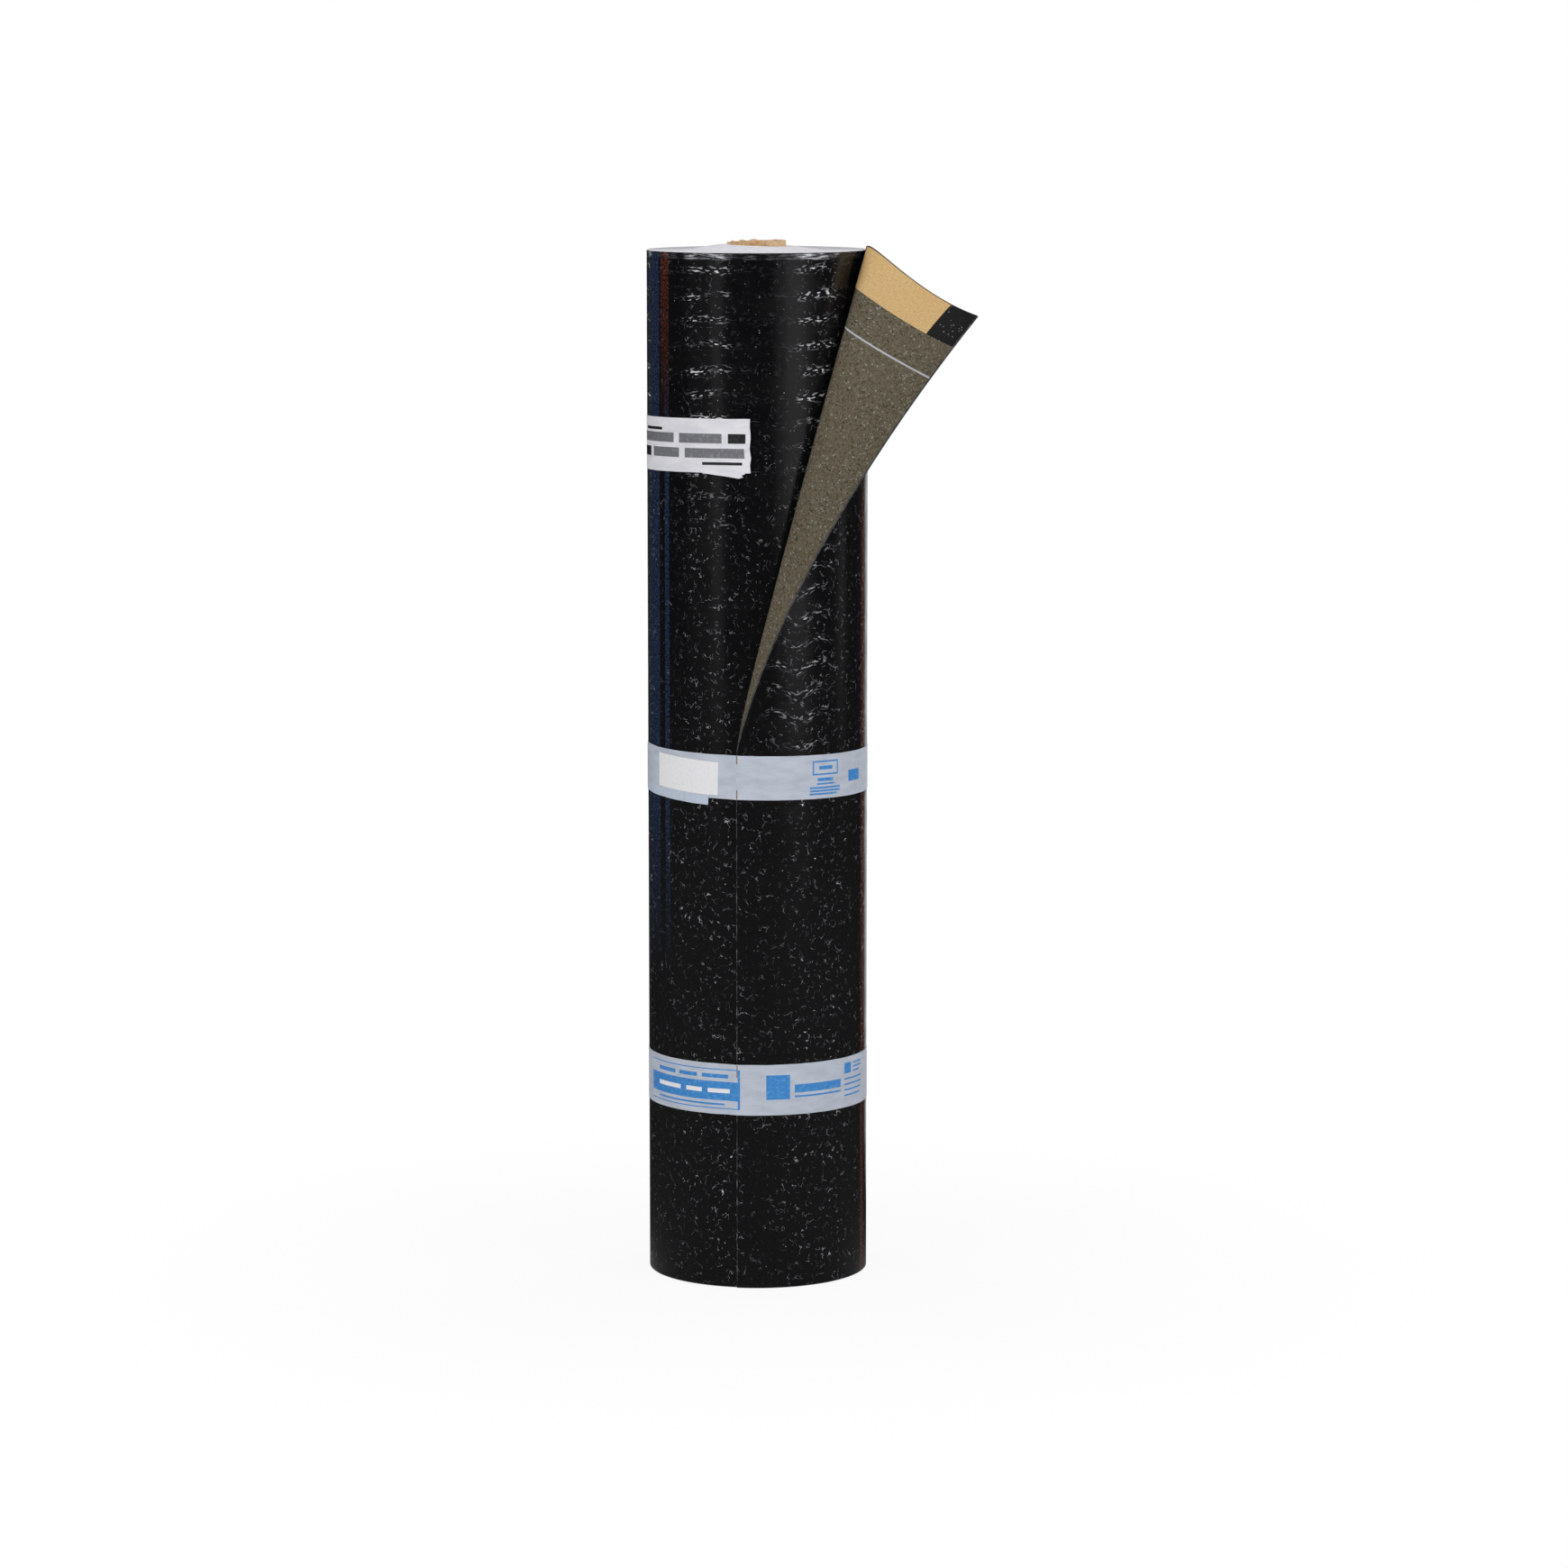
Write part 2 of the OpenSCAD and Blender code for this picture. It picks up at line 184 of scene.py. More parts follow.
@dataclass(frozen=True)
class FilmFacedBitumen(Finish):
    """Modified bitumen sheet under a burn-off polyethylene film, calendered hot onto it.

    The thin film gives a soft gloss over near-black. It shrinks into short crinkles that catch the light, in rows
    across the sheet near its top edge and strewn below. The white drawn along the sharpest of them is partly the film's
    own stress whitening and partly painted glints, thickest on upright bands where the lamps' highlights fall. The
    crinkles are 0.3 mm wide; they are drawn at 0.8 mm and more, as the finest that shows.
    """

    name: str = "polyethylene_film_on_bitumen"
    colour: str = "#0b0b0d"
    whitened_and_glint: str = "#e9ebf0"
    dull: str = "#66696f"
    reflected_navy: str = "#243454"
    reflected_maroon: str = "#5c2a1e"
    row_spacing: float = 0.024
    highlight_fold_spacing: float = 0.1118
    first_highlight_fold: float = 0.0822
    pulled_at: float = 0.058
    crinkle_cell: float = 0.0076
    speck_cell: float = 0.0034
    roughness: float = 0.19

    def draw(self, add: AddNode) -> Socket:
        """Draws the film's gloss, crinkles, creases white from stress and painted glints, and bands of painted
        reflection.
        """
        place = add("UVMap", uv_map=UV_NAME)
        u = add("SeparateXYZ", (place,), "X")
        v = add("SeparateXYZ", (place,), "Y")
        stretched = add("Attribute", output="Fac", attribute_name=STRETCHED)
        slack = add("MapRange", (stretched, 0.0, 0.6, 1.0, 0.0))
        # Most crinkles lie on upright highlight folds, about 60 degrees apart round the lap and set where the lamps'
        # highlights fall, so that the white drawn on them is partly a painted glint.
        highlight_fold = add("Math", (u, self.first_highlight_fold), operation="SUBTRACT")
        highlight_fold = add("Math", (highlight_fold, math.tau / self.highlight_fold_spacing), operation="MULTIPLY")
        highlight_fold = add("Math", (highlight_fold,), operation="COSINE")
        film = FilmPlace(place, u, v, highlight_fold)
        strokes, rows = self._strokes(add, film), self._glint_rows(add, film)
        # The rows draw the slack out of the film near the top edge, so that few crinkles are strewn there.
        strewn = add("MapRange", (v, 0.74, 0.86, 1.0, 0.3))
        marks = add("Math", (strokes, strewn), operation="MULTIPLY")
        for more in (rows, self._glint_specks(add, film), self._rim(add, film)):
            marks = add("Math", (marks, more), operation="MAXIMUM")
        marks = add("Math", (marks, slack), operation="MULTIPLY")
        # The film is cut at the free edge, where a thin pale line, broken into patches, is a painted highlight on the
        # cut corner.
        patchy = add("TexNoise", {"Vector": place, "Scale": 90.0, "Detail": 2.0}, "Fac")
        patchy = add("MapRange", (patchy, 0.42, 0.6, 0.04, 0.3))
        painted_edge_highlight = add("MapRange", (u, 0.0003, 0.0008, patchy, 0.0))
        marks = add("Math", (marks, painted_edge_highlight), operation="MAXIMUM")
        colour = self._painted_reflection_bands(add, film)
        # Some creases are only dulled, some are white; the white is partly the film's stress whitening, partly painted
        # glint.
        tone = add("TexNoise", {"Vector": place, "Scale": 75.0, "Detail": 2.0}, "Fac")
        tone = add("MapRange", (tone, 0.42, 0.62, 0.0, 1.0))
        tone = add("Math", (tone, rows), operation="MAXIMUM")
        tone = add("Mix", {0: tone, 6: linear(self.dull), 7: linear(self.whitened_and_glint)}, **RGBA)
        colour = add("Mix", {0: marks, 6: colour, 7: tone}, **RGBA)
        # Height: the creases stand up over a slowly waving film with fine ribs across it.
        waves = add("TexNoise", {"Vector": place, "Scale": 45.0, "Detail": 2.0}, "Fac")
        ribs = add("Mapping", {"Vector": place, "Scale": (60.0, 520.0, 1.0)})
        ribs = add("TexNoise", {"Vector": ribs, "Scale": 1.0, "Detail": 2.0}, "Fac")
        ribs = add("Math", (ribs, 0.22), operation="MULTIPLY")
        height = add("Math", (waves, ribs), operation="ADD")
        height = add("Math", (height, marks), operation="ADD")
        rough = add("TexNoise", {"Vector": place, "Scale": 35.0, "Detail": 3.0}, "Fac")
        rough = add("MapRange", (rough, 0.3, 0.7, self.roughness - 0.04, self.roughness + 0.06))
        shader = {"Roughness": rough, "IOR": 1.5, "Specular IOR Level": 0.3}
        return self.surface(add, colour, (height, 1.0, 0.0004), shader)

    def _strokes(self, add: AddNode, film: FilmPlace) -> Socket:
        """Draws short curved creases, more upright than not; their white is partly painted glint, stronger on the
        highlight folds.

        Args:
            add: Adds a node to the material.
            film: Where on the film.

        Returns:
            How strong a crease is, from 0 to 1.
        """
        place = film.place
        wander = add("TexNoise", {"Vector": place, "Scale": 130.0, "Detail": 1.0}, "Color")
        wander = add("VectorMath", (wander, (0.5, 0.5, 0.5)), operation="SUBTRACT")
        wander = add("VectorMath", {0: wander, "Scale": 0.012}, operation="SCALE")
        bent = add("VectorMath", (place, wander), operation="ADD")
        tall = add("Mapping", {"Vector": bent, "Scale": (1.3, 0.75, 1.0)})
        cells = {"Vector": tall, "Scale": 1 / self.crinkle_cell}
        border = add("TexVoronoi", cells, "Distance", feature="DISTANCE_TO_EDGE")
        stroke = add("MapRange", (border, 0.006, 0.026, 1.0, 0.0), **SOFT)
        patches = add("TexNoise", {"Vector": place, "Scale": 165.0, "Detail": 1.0}, "Fac")
        patches = add("MapRange", (patches, 0.53, 0.59, 0.0, 1.0), **SOFT)
        regions = add("TexNoise", {"Vector": place, "Scale": 34.0, "Detail": 2.0}, "Fac")
        regions = add("MapRange", (regions, 0.42, 0.6, 0.22, 1.0))
        # The highlight folds make the strokes strongest where the lamps' highlights fall: painted glint.
        highlight_folds = add("MapRange", (film.highlight_fold, -0.7, 0.5, 0.35, 1.0))
        for share in (patches, regions, highlight_folds):
            stroke = add("Math", (stroke, share), operation="MULTIPLY")
        return stroke

    def _glint_rows(self, add: AddNode, film: FilmPlace) -> Socket:
        """Draws rows of level white dashes a finger's width apart, near the top edge and slanting below the peel:
        painted glints of crinkle ridges, kept mostly to the highlight folds.

        Args:
            add: Adds a node to the material.
            film: Where on the film.

        Returns:
            How strong a dash is, from 0 to 1.
        """
        place, u, v, highlight_fold = film
        drift = add("TexNoise", {"Vector": place, "Scale": 16.0, "Detail": 2.0}, "Fac")
        drift = add("MapRange", (drift, 0.0, 1.0, -0.01, 0.01))
        # Where the lap was pulled, the rows hang in shallow points.
        pull = add("Math", (u, self.pulled_at), operation="SUBTRACT")
        pull = add("Math", (pull,), operation="ABSOLUTE")
        near = add("MapRange", (pull, 0.02, 0.045, 0.75, 0.0))
        pulled = add("MapRange", (v, 0.5, 0.56, 0.0, near))
        pulled = add("MapRange", (v, 0.76, 0.7, 0.0, pulled))
        sag = add("Math", (pull, pulled), operation="MULTIPLY")
        sag = add("Math", (sag, 0.7), operation="MULTIPLY")
        level = add("Math", (v, drift), operation="ADD")
        level = add("Math", (level, sag), operation="SUBTRACT")
        row = add("Math", (level, self.row_spacing / 2), operation="PINGPONG")
        row = add("MapRange", (row, 0.0, 0.0055, 1.0, 0.0), **SOFT)
        flat = add("CombineXYZ", {"X": u, "Y": level})
        dashes = add("Mapping", {"Vector": flat, "Scale": (185.0, 560.0, 1.0)})
        dashes = add("TexNoise", {"Vector": dashes, "Scale": 1.0, "Detail": 0.4}, "Fac")
        dashes = add("MapRange", (dashes, 0.57, 0.61, 0.0, 1.0), **SOFT)
        patches = add("TexNoise", {"Vector": place, "Scale": 32.0, "Detail": 2.0}, "Fac")
        patches = add("MapRange", (patches, 0.38, 0.5, 0.1, 1.0))
        # Outside the highlight folds the rows' painted glints mostly fade away.
        highlight_folds = add("MapRange", (highlight_fold, 0.1, 0.6, 0.05, 1.0))
        highlight_folds = add("Math", (highlight_folds, pulled), operation="MAXIMUM")
        high = add("MapRange", (v, 0.72, 0.84, 0.0, 1.0))
        where = add("Math", (high, pulled), operation="MAXIMUM")
        for share in (dashes, patches, highlight_folds, where):
            row = add("Math", (row, share), operation="MULTIPLY")
        return row

    def _glint_specks(self, add: AddNode, film: FilmPlace) -> Socket:
        """Draws pin-point blisters of trapped air as pale specks, which are painted glints.

        Args:
            add: Adds a node to the material.
            film: Where on the film.

        Returns:
            How strong a speck is, from 0 to 1.
        """
        cells = {"Vector": film.place, "Scale": 1 / self.speck_cell}
        far = add("TexVoronoi", cells, "Distance")
        lot = add("SeparateXYZ", (add("TexVoronoi", cells, "Color"),), "X")
        lot = add("MapRange", (lot, 0.88, 1.0, 0.0, 0.9))
        dot = add("MapRange", (far, 0.08, 0.18, 1.0, 0.0), **SOFT)
        return add("Math", (dot, lot), operation="MULTIPLY")

    def _rim(self, add: AddNode, film: FilmPlace) -> Socket:
        """Draws the crumpled band where the film is folded over the sheet's top edge; its pale streaks are partly
        painted glints, brighter on the highlight folds.

        Args:
            add: Adds a node to the material.
            film: Where on the film.

        Returns:
            How white the film is, from 0 to 1.
        """
        band = add("MapRange", (film.v, 0.9925, 0.9945, 0.0, 1.0), **SOFT)
        band = add("MapRange", (film.v, 0.9992, 0.9985, 0.1, band))
        crumple = add("Mapping", {"Vector": film.place, "Scale": (75.0, 600.0, 1.0)})
        crumple = add("TexNoise", {"Vector": crumple, "Scale": 1.0, "Detail": 3.0, "Roughness": 0.6}, "Fac")
        crumple = add("MapRange", (crumple, 0.45, 0.66, 0.04, 1.0))
        highlight_folds = add("MapRange", (film.highlight_fold, -0.1, 0.6, 0.16, 1.0))
        for share in (highlight_folds, band):
            crumple = add("Math", (crumple, share), operation="MULTIPLY")
        return crumple

    def _painted_reflection_bands(self, add: AddNode, film: FilmPlace) -> Socket:
        """Tints narrow upright bands of the film navy and maroon: painted reflections in colour, fixed on the film.

        Args:
            add: Adds a node to the material.
            film: Where on the film.

        Returns:
            The film's colour.
        """
        grain = add("TexNoise", {"Vector": film.place, "Scale": 420.0, "Detail": 2.0}, "Fac")
        grainy = add("MapRange", (grain, 0.42, 0.56, 0.12, 1.0))
        colour = linear(self.colour)
        for start, end, low, high, tint in (
            (0.542, 0.576, 0.30, 1.2, self.reflected_navy),
            (0.5845, 0.5934, 0.30, 0.90, self.reflected_navy),
            (0.5777, 0.5934, 0.83, 1.2, self.reflected_maroon),
            (0.148, 0.159, -0.2, 0.82, self.reflected_maroon),
        ):
            share = grainy
            for along, edge, fade in (
                (film.u, start, 0.0015),
                (film.u, end, -0.0015),
                (film.v, low, 0.17),
                (film.v, high, -0.1),
            ):
                share = add("MapRange", (along, edge, edge + fade, 0.0, share))
            colour = add("Mix", {0: share, 6: colour, 7: linear(tint)}, **RGBA)
        return colour


@dataclass(frozen=True)
class SandedBitumen(Finish):
    """The sheet's underside: bitumen with fine silica sand rolled into it while hot.

    Grains of beige, grey and dark sand stand half out of the binder, so it is dull and speckled. Real grains are
    0.3 to 0.6 mm; they are drawn at 1.5 mm and more, as the smallest that shows.
    """

    name: str = "sanded_bitumen"
    binder: str = "#554e3e"
    sand: str = "#726a58"
    bright: str = "#a3a29c"
    dark: str = "#383429"
    lay_line: str = "#cccdd6"
    grain: float = 0.0013
    line_height: float = 0.9265
    line_width: float = 0.002

    def draw(self, add: AddNode) -> Socket:
        """Draws the sand and the pale lay line that guides the next sheet's overlap."""
        place = add("UVMap", uv_map=UV_NAME)
        v = add("SeparateXYZ", (place,), "Y")
        cells = {"Vector": place, "Scale": 1 / self.grain}
        grey = add("SeparateXYZ", (add("TexVoronoi", cells, "Color"),), "X")
        height = add("TexVoronoi", cells, "Distance")
        away = add("Math", (v, self.line_height), operation="SUBTRACT")
        away = add("Math", (away,), operation="ABSOLUTE")
        edge = self.line_width / 2
        colour = linear(self.binder)
        for levels, tint in (
            ((grey, 0.05, 0.75, 0.0, 1.0), self.sand),
            ((grey, 0.955, 0.98, 0.0, 0.75), self.bright),
            ((grey, 0.07, 0.03, 0.0, 0.8), self.dark),
            ((away, edge, edge * 0.7, 0.0, 0.9), self.lay_line),
        ):
            share = add("MapRange", levels)
            colour = add("Mix", {0: share, 6: colour, 7: linear(tint)}, **RGBA)
        shader = {"Roughness": 0.9, "Specular IOR Level": 0.1}
        return self.surface(add, colour, (height, 0.7, 0.0006), shader, sunk=True)


@dataclass(frozen=True)
class SelvedgeBitumen(Finish):
    """The bare bitumen of the overlap edge, which the release film keeps clean: tacky, near-black, with few grains."""

    name: str = "selvedge_bitumen"
    colour: str = "#0c0c0e"
    grain_colour: str = "#a7aab3"
    grain: float = 0.0022

    def draw(self, add: AddNode) -> Socket:
        """Draws near-black bitumen with sparse stray grains."""
        place = add("UVMap", uv_map=UV_NAME)
        cells = {"Vector": place, "Scale": 1 / self.grain}
        chance = add("SeparateXYZ", (add("TexVoronoi", cells, "Color"),), "X")
        dot = add("MapRange", (add("TexVoronoi", cells, "Distance"), 0.2, 0.4, 1.0, 0.0))
        stray = add("MapRange", (chance, 0.93, 0.95, 0.0, 0.7))
        stray = add("Math", (stray, dot), operation="MULTIPLY")
        colour = add("Mix", {0: stray, 6: linear(self.colour), 7: linear(self.grain_colour)}, **RGBA)
        flow = add("TexNoise", {"Vector": place, "Scale": 160.0, "Detail": 3.0}, "Fac")
        flow = add("Math", (flow, stray), operation="ADD")
        return self.surface(add, colour, (flow, 0.5, 0.0004), {"Roughness": 0.7, "Specular IOR Level": 0.08})


@dataclass(frozen=True)
class CutBitumen(Finish):
    """The knife-cut edges of the sheet: smooth black bitumen, with a little talcum or much of it.

    Talcum keeps the ends of the roll from sticking. It is dull and pale, and paler still at a glancing angle. On the
    roll's ends it is drawn near-white: partly real talc, partly a painted sheen for light glancing off the ends.
    """

    name: str
    dust_and_sheen: tuple[float, float]
    sheen: float
    colour: str = "#17171a"
    talc_and_sheen_colour: str = "#fafaff"
    roughness: float = 0.45
    specular: float = 0.5

    def draw(self, add: AddNode) -> Socket:
        """Draws the dusty cut edge, whose near-white on the roll's ends is partly painted sheen."""
        place = add("TexCoord", output="Object")
        dust_and_sheen = add("TexNoise", {"Vector": place, "Scale": 110.0, "Detail": 6.0, "Roughness": 0.65}, "Fac")
        share = add("MapRange", (dust_and_sheen, 0.36, 0.62, *self.dust_and_sheen))
        colour = add("Mix", {0: share, 6: linear(self.colour), 7: linear(self.talc_and_sheen_colour)}, **RGBA)
        shader = {
            "Roughness": self.roughness,
            "Specular IOR Level": self.specular,
            "Sheen Weight": self.sheen,
            "Sheen Roughness": 0.3,
            "Sheen Tint": linear("#f2f2f8"),
        }
        return self.surface(add, colour, (dust_and_sheen, 0.1, 0.0002), shader)


@dataclass(frozen=True)
class ReleaseFilm(Finish):
    """Silicone-coated release film over the selvedge: matt tan plastic, finely mottled where it grips the bitumen."""

    name: str = "silicone_release_film"
    colour: str = "#dfbb80"
    mottle: str = "#d3ac6f"
    speckle: str = "#ebcf9c"

    def draw(self, add: AddNode) -> Socket:
        """Draws the mottled tan film."""
        place = add("UVMap", uv_map=UV_NAME)
        cloud = add("TexNoise", {"Vector": place, "Scale": 420.0, "Detail": 3.0, "Roughness": 0.6}, "Fac")
        share = add("MapRange", (cloud, 0.38, 0.62, 0.0, 1.0))
        colour = add("Mix", {0: share, 6: linear(self.mottle), 7: linear(self.colour)}, **RGBA)
        fine = add("TexNoise", {"Vector": place, "Scale": 900.0, "Detail": 1.0}, "Fac")
        spots = add("MapRange", (fine, 0.6, 0.68, 0.0, 0.6))
        colour = add("Mix", {0: spots, 6: colour, 7: linear(self.speckle)}, **RGBA)
        return self.surface(add, colour, (cloud, 0.35, 0.0003), {"Roughness": 0.55, "Specular IOR Level": 0.15})


@dataclass(frozen=True)
class CoreBoard(Finish):
    """Spirally wound kraft core board: brown, matt and fibrous, with its plies showing where it is torn."""

    name: str = "kraft_core_board"
    colour: str = "#d9ad76"
    pale: str = "#f3d8b6"
    stain_and_shade: str = "#6e5a45"
    ply: float = 0.0006

    def draw(self, add: AddNode) -> Socket:
        """Draws board fibres, rings of plies on the end and grey stains, which on the left are partly painted shade."""
        place = add("TexCoord", output="Object")
        fibres = add("Mapping", {"Vector": place, "Scale": (250.0, 250.0, 900.0)})
        fibres = add("TexNoise", {"Vector": fibres, "Scale": 1.0, "Detail": 4.0, "Roughness": 0.7}, "Fac")
        share = add("MapRange", (fibres, 0.35, 0.68, 0.0, 1.0))
        colour = add("Mix", {0: share, 6: linear(self.colour), 7: linear(self.pale)}, **RGBA)
        flat = add("VectorMath", (place, (1.0, 1.0, 0.0)), operation="MULTIPLY")
        radius = add("VectorMath", (flat,), "Value", operation="LENGTH")
        ring = add("Math", (radius, self.ply), operation="PINGPONG")
        ring = add("MapRange", (ring, 0.0, self.ply * 0.3, 0.35, 0.0))
        colour = add("Mix", {0: ring, 6: colour, 7: linear(self.stain_and_shade)}, **RGBA)
        # Grey stains, strongest on the left half, are partly painted shade: the shadowed inner wall and hole past the
        # torn front.
        spots = add("Mapping", {"Vector": place, "Scale": (90.0, 90.0, 420.0)})
        spots = add("TexNoise", {"Vector": spots, "Scale": 1.0, "Detail": 3.0, "Roughness": 0.6}, "Fac")
        spots = add("MapRange", (spots, 0.52, 0.66, 0.0, 0.75))
        left = add("MapRange", (add("SeparateXYZ", (place,), "X"), 0.002, 0.02, 1.0, 0.1))
        spots = add("Math", (spots, left), operation="MULTIPLY")
        colour = add("Mix", {0: spots, 6: colour, 7: linear(self.stain_and_shade)}, **RGBA)
        return self.surface(add, colour, (fibres, 0.5, 0.0004), {"Roughness": 0.85, "Specular IOR Level": 0.2})


@dataclass(frozen=True)
class TapeFilm(Finish):
    """Polypropylene packing tape, cast thin and pulled tight: smooth, faintly crinkled and a little milky."""

    name: str
    colour: str
    shade: str
    roughness: float = 0.38

    def draw(self, add: AddNode) -> Socket:
        """Draws the milky tape with its long faint crinkles."""
        place = add("UVMap", uv_map=UV_NAME)
        cloud = add("Mapping", {"Vector": place, "Scale": (34.0, 110.0, 1.0)})
        cloud = add("TexNoise", {"Vector": cloud, "Scale": 1.0, "Detail": 4.0, "Roughness": 0.6}, "Fac")
        share = add("MapRange", (cloud, 0.4, 0.66, 0.0, 1.0))
        colour = add("Mix", {0: share, 6: linear(self.colour), 7: linear(self.shade)}, **RGBA)
        fine = add("TexNoise", {"Vector": place, "Scale": 480.0, "Detail": 2.0}, "Fac")
        fine = add("MapRange", (fine, 0.3, 0.7, 0.0, 0.35))
        height = add("Math", (cloud, fine), operation="ADD")
        shader = {"Roughness": self.roughness, "Specular IOR Level": 0.4}
        return self.surface(add, colour, (height, 0.45, 0.0005), shader)


@dataclass(frozen=True)
class TapeInk(Finish):
    """Flexographic ink on the tape: a thin even coat that breaks up a little over the crinkles."""

    name: str
    colour: str
    patchy: str

    def draw(self, add: AddNode) -> Socket:
        """Draws the ink with its small worn spots."""
        place = add("UVMap", uv_map=UV_NAME)
        wear = add("TexNoise", {"Vector": place, "Scale": 260.0, "Detail": 4.0, "Roughness": 0.6}, "Fac")
        share = add("MapRange", (wear, 0.5, 0.74, 0.0, 0.8))
        colour = add("Mix", {0: share, 6: linear(self.colour), 7: linear(self.patchy)}, **RGBA)
        return self.surface(add, colour, (wear, 0.3, 0.0003), {"Roughness": 0.42, "Specular IOR Level": 0.4})


class Ink(Enum):
    """What a mark on a tape is printed with."""

    BLUE = TapeInk("blue_tape_ink", "#378fdc", "#74b4ea")
    GREY = TapeInk("grey_tape_ink", "#77787d", "#9b9ca2")
    BLACK = TapeInk("black_tape_ink", "#131315", "#3a3a3f")
    WHITE = TapeInk("white_tape_ink", "#fdfdff", "#eef1f8")
    MILK = TapeInk("milky_tape_overlap", "#c9d5e7", "#dbe2ee")
    BROWN = TapeInk("brown_bitumen_smear", "#8f6f49", "#6a5236")


# ---------------------------------------------------------------------------------------------- geometry


@dataclass(frozen=True)
class Winding:
    """How the sheet is wound: half turns about two centres, so that each turn runs on into the next."""

    width: float = 1000.0
    thickness: float = 2.2
    gap: float = 0.07
    turns: int = 35
    core_radius: float = 28.5
    free_edge: float = -10.2
    lead: float = 25.0

    @property
    def pitch(self) -> float:
        """How much the radius grows with each turn."""
        return self.thickness + self.gap

    @property
    def outer(self) -> float:
        """Radius of the roll over its outer lap."""
        return self.core_radius + self.turns * self.pitch

    @property
    def middle(self) -> float:
        """Radius of the middle of the outer lap."""
        return self.outer - self.pitch / 2

    @property
    def first_run(self) -> float:
        """Run at which the sheet starts on the core."""
        return (2 * self.turns - 1) * 180.0

    def centre(self, half_turn: int) -> Vector:
        """Centre of a half turn, in the seam's frame."""
        return Vector((-self.pitch / 2 if half_turn % 2 else 0.0, 0.0, 0.0))

    def point(self, run: float, offset: float, height: float) -> Vector:
        """Finds a point of the wound sheet, in the seam's frame.

        Args:
            run: How far the sheet has wound.
            offset: Distance outwards from the middle of its thickness.
            height: Height above the floor.

        Returns:
            The point.
        """
        half_turn = math.floor(run / 180)
        radius = self.middle - half_turn * self.pitch / 2 + offset
        angle = math.radians(run)
        return self.centre(half_turn) + Vector((radius * math.cos(angle), radius * math.sin(angle), height))

    def run_of(self, point: Vector) -> tuple[float, float]:
        """Finds where a point of the seam's frame lies on the sheet.

        Args:
            point: A point inside the sheet's thickness.

        Returns:
            Its run and its distance outwards from the middle of the thickness.
        """
        angle = math.degrees(math.atan2(point.y, point.x)) % 360
        odd = 1 if angle > 180 else 0
        radius = (point - self.centre(odd)).xy.length
        start = self.middle - odd * self.pitch / 2
        turn = round((start - radius) / self.pitch)
        return angle + 360 * turn, radius - start + turn * self.pitch

    def run_at(self, azimuth: float) -> float:
        """Run of the outer lap at an azimuth. A whole turn more gives the sheet under it."""
        return azimuth - self.free_edge + self.lead

    def to_roll(self) -> Matrix:
        """Turn from the seam's frame to the roll's."""
        return Matrix.Rotation(math.radians(self.free_edge - 90 - self.lead), 4, "Z")

    def length(self, run: float) -> float:
        """Length of sheet from the free edge to a run, as it would be on the outer lap."""
        return math.radians(run - self.lead) * self.middle


def bezier(handles: list[Vector], share: float) -> Vector:
    """Point of a cubic curve at a share of its parameter."""
    rest = 1 - share
    return (
        rest**3 * handles[0]
        + 3 * rest * rest * share * handles[1]
        + 3 * rest * share * share * handles[2]
        + share**3 * handles[3]
    )


